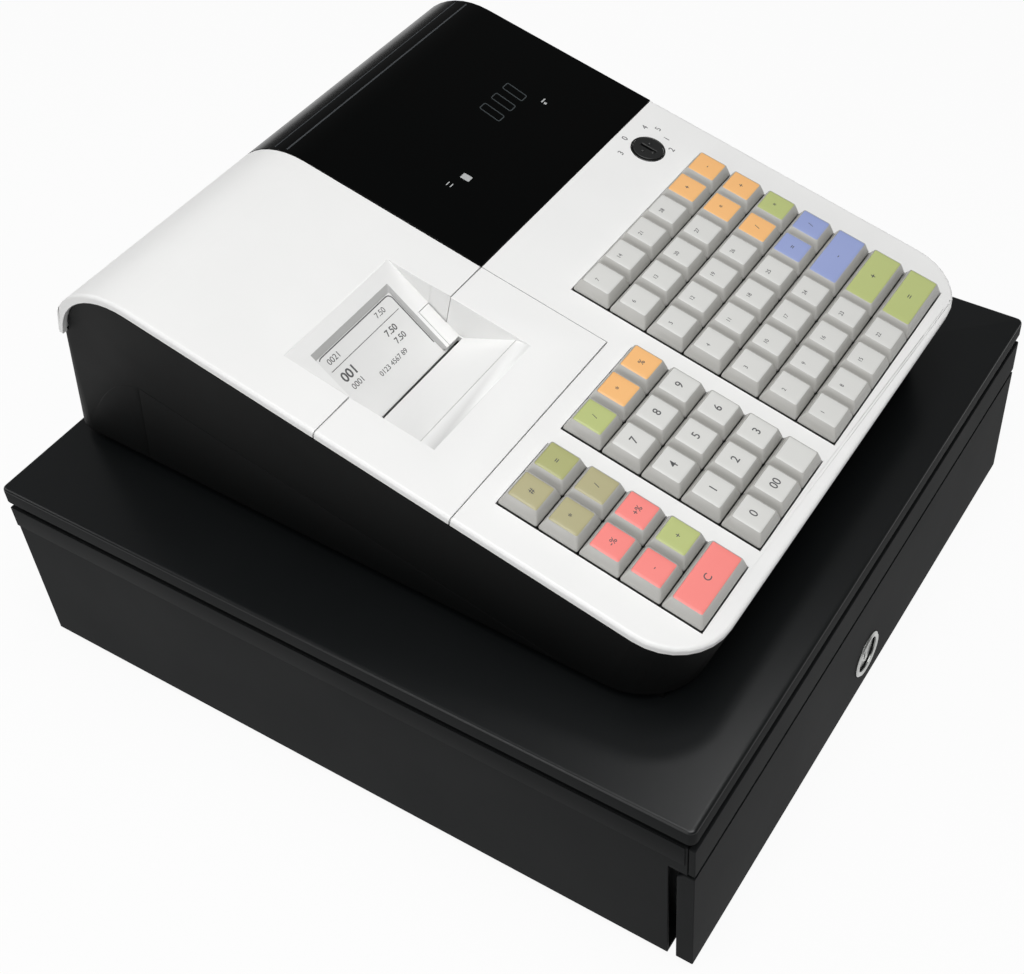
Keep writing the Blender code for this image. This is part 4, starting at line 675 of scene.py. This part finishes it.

# Receipt strip
# Thermal paper comes up through the slot and lies in the cover's pocket. It is printed with plain
# figures and one rule; a dark line along its top and right edges is painted shadow under its curled edge.
RECESS_LEFT, RECESS_RIGHT = -108.0 * MM, -38.0 * MM
SLOT_REAR = 168.0 * MM
RAMP_TOP = 208.0 * MM
RECESS_DEPTH = 19.2 * MM
POCKET_LEFT = RECESS_LEFT + 9.0 * MM
POCKET_WIDTH = 52.0 * MM
ramp_turn = math.atan2(RECESS_DEPTH, RAMP_TOP - SLOT_REAR)
ramp_length = math.hypot(RECESS_DEPTH, RAMP_TOP - SLOT_REAR)
ramp_place = (slope_place @ Matrix.Translation((0.0, SLOT_REAR, -RECESS_DEPTH))
              @ Matrix.Rotation(ramp_turn, 4, "X"))
POCKET_TOP_GAP = 6.7 * MM                # level distance from the pocket to the ramp's upper end
pocket_top = ramp_length - POCKET_TOP_GAP / math.cos(ramp_turn)
POCKET_DEPTH = 2.05 * MM
FRAME_FOOT = 1.9 * MM                    # depth at which the frame's slope meets the paper
FRAME_LEFT, FRAME_RIGHT, FRAME_TOP = 0.8 * MM, 1.3 * MM, 3.2 * MM
FRAME_CORNER = 0.15 * MM
FRAME_LOW = 0.3 * MM
FRAME_SUNK = 0.04 * MM
PAPER_CORNER = 2.4 * MM
PAPER_LOW = -0.9 * MM
PAPER_LEVEL = -1.75 * MM
PAPER_THICKNESS = 0.12 * MM
PAPER_CURL = 0.25 * MM


def arch(left, right, low, high, radius, steps=6):
    """A path up the left side, round two quarter circles and down the right side of a rectangle."""
    bends = np.linspace(0, math.pi / 2, steps + 1)
    first = np.column_stack((left + radius * (1 - np.cos(bends)), high - radius * (1 - np.sin(bends))))
    second = np.column_stack((right - radius * (1 - np.sin(bends)), high - radius * (1 - np.cos(bends))))
    return np.concatenate(([(left, low)], first, second, [(right, low)]))


def at_level(path, height):
    """A flat path as points at one height."""
    return np.column_stack((path, np.full(len(path), height)))


# The pocket's edge slopes down to the paper on three sides, widest at the top; its grey is painted shade
pocket_right = POCKET_LEFT + POCKET_WIDTH
paper_left, paper_right = POCKET_LEFT + FRAME_LEFT, pocket_right - FRAME_RIGHT
paper_top = pocket_top - FRAME_TOP
frame_outer = arch(POCKET_LEFT, pocket_right, FRAME_LOW, pocket_top, FRAME_CORNER)
frame_inner = arch(paper_left, paper_right, FRAME_LOW, paper_top, PAPER_CORNER)
frame_rings = np.stack((at_level(frame_outer, -FRAME_SUNK), at_level(frame_inner, -FRAME_FOOT),
                        at_level(frame_inner, -POCKET_DEPTH), at_level(frame_outer, -POCKET_DEPTH)), axis=1)
# Painted shade: the pocket's edge is grey for the shade that falls on it
pocket_edge_painted_shade = coated("grey ABS pocket edge with painted shade", ("#b6b6b5", "#bebebd"), 0.6, 0.5, 0.01, ior=1.54)
fit(skin("pocket_frame", [placed(frame_rings, ramp_place)]), pocket_edge_painted_shade, "roll_cover", "case_white")


def paper_curl(u, t):
    """Level of the paper's face: a rise with the cube of the way up, and with u squared at the sides."""
    return PAPER_LEVEL + PAPER_CURL * (0.5 * t ** 3 + 0.25 * u ** 2 * t)


def curled_strip(left, right, low, high, columns=26, rows=20):
    """Both faces of the strip: u runs across from -1 to 1 and t up from 0 to 1."""
    u, t = np.meshgrid(np.linspace(-1, 1, columns), np.linspace(0, 1, rows))
    x = (left + right) / 2 + u * (right - left) / 2
    y = low + t * (high - low)
    top = np.stack((x, y, paper_curl(u, t)), axis=-1)
    return top, top - (0, 0, PAPER_THICKNESS)


def sheet_skin(name, top, bottom):
    """A closed sheet from two grids, joined round their edges."""
    rows, columns = top.shape[:2]
    index = np.arange(rows * columns).reshape(rows, columns)
    a, b, c, d = index[:-1, :-1], index[:-1, 1:], index[1:, 1:], index[1:, :-1]
    upper = np.stack((a, b, c, d), axis=-1).reshape(-1, 4)
    lower = upper[:, ::-1] + rows * columns
    edge = np.concatenate((index[0, :-1], index[:-1, -1], index[-1, :0:-1], index[:0:-1, 0]))
    after = np.roll(edge, -1)
    rim = np.stack((edge, edge + rows * columns, after + rows * columns, after), axis=-1)
    mesh = bpy.data.meshes.new(name)
    mesh.from_pydata(placed(np.concatenate((top.reshape(-1, 3), bottom.reshape(-1, 3))), ramp_place), [],
                     np.concatenate((upper, lower, rim)).tolist())
    return link_piece(name, mesh, 40.0)


thermal_paper = coated("thermal till paper", ("#dededd", "#e4e4e3"), 0.6, 0.5, 0.006, ior=1.45)
strip = sheet_skin("receipt_paper", *curled_strip(paper_left, paper_right, PAPER_LOW, paper_top))
fit(strip, thermal_paper, "roll_cover", "paper", "receipt_strip")

# The strip's figures are printed by heat, and stand on it as a film as thin as the display's
FIGURE_SHARE = 0.7                       # a figure's height as a share of its font size
PRINT_WELD = 0.0005 * MM


def lettering(name, marks, place):
    """Plain figures as thin closed plates: (figures, height, x, y, level, boldness) at a place."""
    whole = bmesh.new()
    for figures, height, x, y, level, boldness in marks:
        curve = bpy.data.curves.new("figures", "FONT")
        curve.body = figures
        curve.size = height / FIGURE_SHARE
        curve.align_x, curve.align_y = "CENTER", "CENTER"
        curve.extrude = PRINT_DEPTH
        curve.offset = boldness
        guide = bpy.data.objects.new("figures", curve)
        scene.collection.objects.link(guide)
        bpy.context.view_layer.update()
        mesh = bpy.data.meshes.new_from_object(guide.evaluated_get(bpy.context.evaluated_depsgraph_get()))
        bpy.data.objects.remove(guide)
        mesh.transform(place @ Matrix.Translation((x, y, level)))
        whole.from_mesh(mesh)
        bpy.data.meshes.remove(mesh)
    bmesh.ops.remove_doubles(whole, verts=whole.verts, dist=PRINT_WELD)
    bmesh.ops.recalc_face_normals(whole, faces=whole.faces)
    mesh = bpy.data.meshes.new(name)
    whole.to_mesh(mesh)
    whole.free()
    return link_piece(name, mesh)


# This grey serves the real print and also the painted shadow line along the paper's edge
till_print_and_edge_shadow = coated("grey thermal print and painted edge shadow", ("#4a4a4b", "#5a5a5b"), 0.6, 0.4, 0.002)
paper_middle = (paper_left + paper_right) / 2
# Each line's figures and height, its place across and up in millimetres, and its boldness
receipt_lines = [("0021", 2.7 * MM, -17.5, 29.6, 0.0), ("7.50", 2.5 * MM, 14.5, 30.0, 0.0),
                 ("001", 4.2 * MM, -17.0, 20.8, 0.12), ("7.50", 2.9 * MM, 12.5, 21.6, 0.06),
                 ("0001", 2.6 * MM, -17.0, 15.6, 0.0), ("7.50", 2.7 * MM, 13.5, 16.8, 0.04),
                 ("0123 4567 89", 2.3 * MM, 2.5, 11.4, 0.0)]


def paper_height(x, y):
    """Level of the paper's face under a mark."""
    return paper_curl((x - paper_middle) / (paper_right - paper_left) * 2, y / paper_top)


marks = []
for figures, height, x, y, boldness in receipt_lines:
    x, y = paper_middle + x * MM, y * MM
    marks.append((figures, height, x, y, paper_height(x, y), boldness * MM))
fit(lettering("receipt_figures", marks, ramp_place), till_print_and_edge_shadow, "roll_cover", "paper")

RULE_PLACE = 26.0 * MM
RULE_WIDTH = 0.28 * MM
RULE_INSET = 2 * MM
RULE_STEPS = 9
EDGE_SHADOW_WIDTH = 0.5 * MM
EDGE_SHADOW_FOOT = 5.5 * MM
EDGE_SHADOW_START = 4                           # the painted shadow line leaves out the left side and starts in its corner


def paper_line(path, width):
    """Rings of a fine line on the paper: four corners about each point, across the path's direction."""
    path = np.asarray(path, float)
    along = np.gradient(path, axis=0)
    aside = np.column_stack((-along[:, 1], along[:, 0]))
    aside = aside / np.linalg.norm(along, axis=1, keepdims=True) * width / 2
    levels = paper_height(path[:, 0], path[:, 1])
    rings = [at_level(path + side * aside, 0.0) + np.outer(levels + lift, (0, 0, 1))
             for side, lift in ((-1, PRINT_DEPTH), (1, PRINT_DEPTH), (1, -PRINT_DEPTH),
                                (-1, -PRINT_DEPTH))]
    return placed(np.stack(rings, axis=1), ramp_place)


# Painted shadow: a dark line along the paper's top and right edges, for the shade under its curl
edge_shadow_path = arch(paper_left + EDGE_SHADOW_WIDTH, paper_right - EDGE_SHADOW_WIDTH, EDGE_SHADOW_FOOT, paper_top - EDGE_SHADOW_WIDTH,
                 PAPER_CORNER)[EDGE_SHADOW_START:]
rule_x = np.linspace(paper_left + RULE_INSET, paper_right - RULE_INSET, RULE_STEPS)
rule_path = np.column_stack((rule_x, np.full(RULE_STEPS, RULE_PLACE)))
rule_and_edge_shadow = skin("receipt_rule_and_edge_shadow", [paper_line(rule_path, RULE_WIDTH), paper_line(edge_shadow_path, EDGE_SHADOW_WIDTH)])
fit(rule_and_edge_shadow, till_print_and_edge_shadow, "roll_cover", "paper")

# The toe of the front slope meets it in a fine moulded line, drawn as a thin grey rod of painted shade
CREASE_PLACE = (141.5 * MM, -2.0 * MM)
CREASE_RADIUS = 0.16 * MM
CREASE_END_GAP = 0.2 * MM
section = [(CREASE_RADIUS * math.cos(a), CREASE_RADIUS * math.sin(a))
           for a in np.linspace(0, 2 * math.pi, 6, endpoint=False)]
crease = [[(x, CREASE_PLACE[0] - a, CREASE_PLACE[1] + b) for a, b in section]
          for x in (RECESS_LEFT + CREASE_END_GAP, RECESS_RIGHT - CREASE_END_GAP)]
# Painted shade: the crease's grey stands in for the shade in it
crease_painted_shade = coated("ABS crease with painted shade", ("#a9a9a7", "#b1b1af"), 0.6, 0.5, 0.002)
fit(skin("recess_crease", [placed(crease, slope_place)]), crease_painted_shade, "printer_cover", "case_white")

# Key switch
# A dark moulded barrel with a keyway turns in a hole of the white tile. A collar is pressed round the
# hole, three studs stand on the barrel, and plain figures are pad-printed round it.
LOCK_CENTRE = Vector((99.9 * MM, 158.4 * MM))
MODE_RADIUS = 7.3 * MM
lock_plastic = coated("black nylon barrel", ("#131414", "#1a1b1b"), 0.38, 0.5, 0.015, ior=1.53)
dress("key_switch", "mode_lock", 0.35, lock_plastic, "mode_lock", "lock_black")
COLLAR_BORE, COLLAR_CREST = MODE_RADIUS + 0.35 * MM, MODE_RADIUS + 0.7 * MM
COLLAR_RIM = MODE_RADIUS + 1.1 * MM
COLLAR_FOOT, COLLAR_SHOULDER, COLLAR_TOP = -0.2 * MM, 0.12 * MM, 0.3 * MM
collar_profile = [(COLLAR_BORE, COLLAR_FOOT), (COLLAR_RIM, COLLAR_FOOT), (COLLAR_RIM, COLLAR_SHOULDER),
                  (COLLAR_CREST, COLLAR_TOP), (COLLAR_BORE, COLLAR_SHOULDER)]
lock_middle = slope_place @ Vector((LOCK_CENTRE.x, LOCK_CENTRE.y, 0.0))
slope_up = slope_place.to_3x3() @ Vector((0, 0, 1))
collar = loop_skin("switch_collar", [turned(collar_profile[::-1], lock_middle, slope_up, 48)])
fit(collar, lock_plastic, "register", "lock_black")
STUD_PROFILE = ((0.9 * MM, 0.2 * MM), (0.9 * MM, 1.0 * MM), (0.6 * MM, 1.2 * MM))
STUD_CIRCLE = 3.4 * MM
STUD_DIRECTIONS = (20, 160, 250)         # degrees round the barrel
studs = []
for direction in np.radians(STUD_DIRECTIONS):
    stud_foot = Vector((LOCK_CENTRE.x + STUD_CIRCLE * math.cos(direction),
                        LOCK_CENTRE.y + STUD_CIRCLE * math.sin(direction), 0.0))
    studs.append(turned(STUD_PROFILE, slope_place @ stud_foot, slope_up, 12))
fit(skin("switch_studs", studs), lock_plastic, "mode_lock", "lock_black")
ink = coated("dark grey pad print", ("#4a4a4c", "#58585a"), 0.5, 0.4, 0.001)
SWITCH_FIGURE_HEIGHT = 3.0 * MM
# Each figure's place on the slope, in millimetres
SWITCH_FIGURES = {"3": (88.7, 166.6), "0": (98.6, 170.4), "4": (112.0, 167.2), "5": (115.4, 161.8),
                  "1": (112.4, 155.2), "2": (107.6, 149.6)}
marks = [(figure, SWITCH_FIGURE_HEIGHT, x * MM, v * MM, 0.0, 0.0)
         for figure, (x, v) in SWITCH_FIGURES.items()]
fit(lettering("switch_figures", marks, slope_place), ink, "register", "case_white")

# Keycaps
# Sixty-three grey ABS caps slant up to a shallow pan, in which a printed label lies under a clear
# lens. Single caps press alone; each bank shares a moulded web under the tile.
KEY_PITCH = 18.6 * MM
KEY_GAP = 0.6 * MM
KEY_TOP = 6.0 * MM
KEY_ROOT = -5.0 * MM
BLOCK_FRONT = 8.1 * MM
BLOCK_LEFT = {"department": 0.5 * MM, "numeric": -66.5 * MM, "function": -113.6 * MM}
INSETS = (1.9 * MM, 2.3 * MM, 1.8 * MM)  # the top face from the cap's sides, front and back
SHOULDER = 1.2 * MM
PAN_INSET = 0.4 * MM
PAN_DEPTH = 0.35 * MM
ROOT_TOP = 0.25 * MM                     # faces of the root below this get the painted shade of the well
ROOT_INSET = 0.15 * MM
LENS_GAP = 0.03 * MM
LENS_CROWN = 0.06 * MM                   # the lens's middle stands this far over the cap's rim


def cap_ring(left, right, front, back, share, extra, height, radius):
    """One rounded rectangle of a cap: the share of the full slant, then an even extra inset."""
    side, near, far = (share * inset for inset in INSETS)
    return rounded_ring(left + side + extra, right - side - extra, front + near + extra, back - far - extra,
                        radius, height, 3)


def cap_rings(left, right, front, back):
    """A keycap's skin: straight root, shoulder, slanting skirt, rounded top edge and the label's pan."""
    slant = KEY_TOP - SHOULDER
    # Each ring's share of the slant, even inset, height, and corner radius in millimetres
    steps = [(0.0, ROOT_INSET + 0.3 * MM, KEY_ROOT, 0.5), (0.0, ROOT_INSET, KEY_ROOT + 0.3 * MM, 0.8),
             (0.0, ROOT_INSET, ROOT_TOP - 0.1 * MM, 0.8), (0.0, 0.0, ROOT_TOP, 0.8),
             (0.0, 0.0, SHOULDER - 0.3 * MM, 0.8), (0.02, 0.05 * MM, SHOULDER + 0.15 * MM, 0.8),
             (0.5, 0.0, SHOULDER + 0.5 * slant, 0.9), (0.93, 0.0, SHOULDER + 0.93 * slant, 1.0),
             (0.985, 0.05 * MM, KEY_TOP - 0.2 * MM, 1.0), (1.0, 0.13 * MM, KEY_TOP - 0.05 * MM, 1.0),
             (1.0, 0.24 * MM, KEY_TOP, 0.9), (1.0, PAN_INSET - 0.06 * MM, KEY_TOP - 0.05 * MM, 0.8),
             (1.0, PAN_INSET, KEY_TOP - PAN_DEPTH, 0.7)]
    return placed([cap_ring(left, right, front, back, share, extra, height, radius * MM)
                   for share, extra, height, radius in steps], slope_place)


def label_rings(left, right, front, back):
    """The label's lens: a wall in the pan and a low dome that flattens towards its middle."""
    steps = [(PAN_INSET + LENS_GAP, KEY_TOP - PAN_DEPTH - 0.05 * MM, 0.7),
             (PAN_INSET + LENS_GAP, KEY_TOP - 0.1 * MM, 0.7),
             (PAN_INSET + 0.25 * MM, KEY_TOP - 0.01 * MM, 0.7),
             (PAN_INSET + 1.5 * MM, KEY_TOP + 0.04 * MM, 0.5),
             (PAN_INSET + 3.0 * MM, KEY_TOP + LENS_CROWN, 0.3)]
    return placed([cap_ring(left, right, front, back, 1.0, extra, height, radius * MM)
                   for extra, height, radius in steps], slope_place)


key_plastic = coated("moulded grey ABS keycap", ("#b0afab", "#b7b6b2"), 0.4, 0.6, 0.008, ior=1.54)
# Painted shade: the caps' roots are dark grey for the shade that falls on them in their wells
key_root_painted_shade = coated("keycap root with painted well shade", ("#262625", "#2e2e2c"), 0.6, 0.6, 0.008, ior=1.54)
LABEL_COLOURS = {"grey": ("#d3d3d0", "#d9d9d6"), "orange": ("#f2b877", "#f5be80"),
                 "green": ("#b4be7c", "#bac382"), "blue": ("#929fce", "#9aa6d3"),
                 "khaki": ("#aea882", "#b5af89"), "olive": ("#a9ab74", "#b0b27c"),
                 "red": ("#f48781", "#f68e88")}
LABEL_SLOTS = {"olive": "key_khaki"}
label_finish = {colour: coated("%s label under a clear lens" % colour, tones, 0.3, 0.8, 0.002,
                               gloss_change=0.04) for colour, tones in LABEL_COLOURS.items()}

# Its column is the first that it covers, its row counts from the front and its span is in places
Key = namedtuple("Key", "body block column row span tone figure")
ROWS, PLAIN_COLUMNS = 7, 4
SIGN_FIGURES = "+-%=/*"
keys = []
for row in range(ROWS):
    body = "department_row_%d" % (row + 1)
    for column in range(PLAIN_COLUMNS):
        keys.append(Key(body, "department", column, row, 1, "grey", str(ROWS * column + row + 1)))
for row, tones in ((3, ("blue", "blue")), (4, ("orange", "green")), (5, ("orange", "orange")),
                   (6, ("orange", "orange"))):
    for number, tone in enumerate(tones):
        figure = SIGN_FIGURES[(row + number) % len(SIGN_FIGURES)]
        keys.append(Key("department_row_%d" % (row + 1), "department", PLAIN_COLUMNS + number, row, 1, tone,
                        figure))
keys += [Key("total_key", "department", PLAIN_COLUMNS, 0, 2, "green", "="),
         Key("subtotal_key", "department", PLAIN_COLUMNS, 1, 2, "green", "+"),
         Key("card_key", "department", PLAIN_COLUMNS, 2, 2, "blue", "-")]
for row, line in enumerate((("0", "00", ""), ("1", "2", "3"), ("4", "5", "6"), ("7", "8", "9"))):
    for column, figure in enumerate(line):
        keys.append(Key("key_" + (figure or "blank"), "numeric", column, row, 1, "grey", figure))
for column, (tone, figure) in enumerate((("green", "/"), ("orange", "*"), ("orange", "%"))):
    keys.append(Key("numeric_back_row", "numeric", column, 4, 1, tone, figure))
keys.append(Key("clear_key", "function", 0, 0, 2, "red", "C"))
for column, row, tone, figure in ((0, 1, "red", "-"), (1, 1, "green", "+"),
                                  (0, 2, "red", "-%"), (1, 2, "red", "+%")):
    keys.append(Key("function_front_bank", "function", column, row, 1, tone, figure))
for column, row, tone, figure in ((0, 3, "khaki", "*"), (1, 3, "khaki", "/"),
                                  (0, 4, "khaki", "#"), (1, 4, "olive", "=")):
    keys.append(Key("function_rear_bank", "function", column, row, 1, tone, figure))


def key_edges(block, column, row, span):
    """Left, right, front and back of one cap on the slope."""
    left = BLOCK_LEFT[block] + column * KEY_PITCH + KEY_GAP / 2
    front = BLOCK_FRONT + row * KEY_PITCH + KEY_GAP / 2
    return left, left + span * KEY_PITCH - KEY_GAP, front, front + KEY_PITCH - KEY_GAP


WEB_LEVELS = (-3.5 * MM, -2.0 * MM)
WEB_HALF = 3.0 * MM
WEB_CORNER = 0.4 * MM
# Heights and boldness of the figures on department, numeric, double and sign keys
SMALL_FIGURE, DIGIT_FIGURE, WIDE_FIGURE, SIGN_FIGURE = 1.9 * MM, 3.7 * MM, 3.2 * MM, 2.6 * MM
DIGIT_BOLD, SIGN_BOLD = 0.03 * MM, 0.02 * MM
SMALL_FIGURE_PLACE = (-2.6 * MM, 1.4 * MM)
figure_level = KEY_TOP + LENS_CROWN
for body in dict.fromkeys(key.body for key in keys):
    own = [key for key in keys if key.body == body]
    edges = [key_edges(key.block, key.column, key.row, key.span) for key in own]
    stacks = [cap_rings(*edge) for edge in edges]
    if len(own) > 1:
        middles = [((left + right) / 2, (front + back) / 2) for left, right, front, back in edges]
        (x0, v0), (x1, v1) = np.min(middles, axis=0), np.max(middles, axis=0)
        stacks.append(placed([rounded_ring(x0 - WEB_HALF, x1 + WEB_HALF, v0 - WEB_HALF, v1 + WEB_HALF,
                                           WEB_CORNER, level, 2) for level in WEB_LEVELS], slope_place))
    caps = fit(skin(body + "_caps", stacks), key_plastic, body, "key_grey", body)
    # Faces of the root below ROOT_TOP take the painted shade
    caps.data.materials.append(key_root_painted_shade)
    middles = np.empty(len(caps.data.polygons) * 3)
    caps.data.polygons.foreach_get("center", middles)
    heights = placed(middles.reshape(-1, 3), slope_place.inverted())[:, 2]
    caps.data.polygons.foreach_set("material_index", (heights < ROOT_TOP).astype(int))
    for tone in dict.fromkeys(key.tone for key in own):
        lenses = [label_rings(*edge) for key, edge in zip(own, edges) if key.tone == tone]
        fit(skin("%s_%s_labels" % (body, tone), lenses), label_finish[tone], body,
            LABEL_SLOTS.get(tone, "key_" + tone))
    marks = []
    for key, (left, right, front, back) in zip(own, edges):
        x, v = (left + right) / 2, (front + back) / 2 + (INSETS[1] - INSETS[2]) / 2
        if not key.figure:
            continue
        if key.block == "department" and key.span == 1 and key.tone == "grey":
            marks.append((key.figure, SMALL_FIGURE, x + SMALL_FIGURE_PLACE[0], v + SMALL_FIGURE_PLACE[1],
                          figure_level, 0.0))
        elif key.block == "numeric" and key.tone == "grey":
            marks.append((key.figure, DIGIT_FIGURE, x, v, figure_level, DIGIT_BOLD))
        else:
            size = WIDE_FIGURE if key.span == 2 else SIGN_FIGURE
            marks.append((key.figure, size, x, v, figure_level, SIGN_BOLD))
    if marks:
        fit(lettering(body + "_figures", marks, slope_place), ink, body, "key_grey")

# Key plate, main board and displays
# A zinc-plated plate carries the switches under the wells; the glass-epoxy board hangs under it on
# spacers. The two display modules are glass fronts in black frames behind the window.
dress("switch_plate", "key_plate", 0.25, zinc_sheet, "register", "steel")
solder_mask = coated("green solder mask on glass epoxy", ("#0f4a2a", "#145833"), 0.4, 1.2, 0.01)
dress("circuit_board", "main_board", 0.2, solder_mask, "register", "board_green")
module_glass = coated("grey-green display glass", ("#10201f", "#152827"), 0.12, 2.0, 0.001)
for node in ("operator_display", "customer_display"):
    dress(node + "_module", node, 0.4, module_glass, "register", "display_glass")

# Transformer and cord gland
# A stack of varnished steel laminations with a taped winding stands on the tub's floor. The cord's
# gland is a flanged rubber bush in the rear wall.
WINDING_INSET, WINDING_PROUD, WINDING_END = 10 * MM, 3 * MM, 8 * MM
WINDING_EDGE = 3.0 * MM
varnished_steel = coated("varnished transformer laminations", ("#4a4643", "#5a5550"), 0.45, 0.5,
                         0.05, metallic=0.6)
dress("transformer_core", "transformer", 1.0, varnished_steel, "register", "steel")
core_low, core_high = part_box("transformer")
winding = level_bar((core_low.x + WINDING_INSET, core_low.y - WINDING_PROUD, core_low.z + WINDING_END),
                    (core_high.x - WINDING_INSET, core_high.y + WINDING_PROUD, core_high.z - WINDING_END),
                    WINDING_EDGE, 6)
fit(skin("transformer_winding", [winding]), coil_tape, "register", "steel")
dress("gland_bush", "cord_gland", 0.5, soft_rubber, "register", "rubber")

# Printer, platen and paper roll
# Two zinc-plated side plates stand on the floor and carry a rubber platen and the roll's spindle. The
# roll is wound from the same paper as the strip, and lifts out with its cover off.
dress("printer_chassis", "printer_frame", 0.3, zinc_sheet, "register", "steel")
dress("platen", "platen_roller", 0.3, soft_rubber, "platen_roller", "rubber")
dress("paper_roll", "receipt_roll", 0.4, thermal_paper, "receipt_roll", "paper")
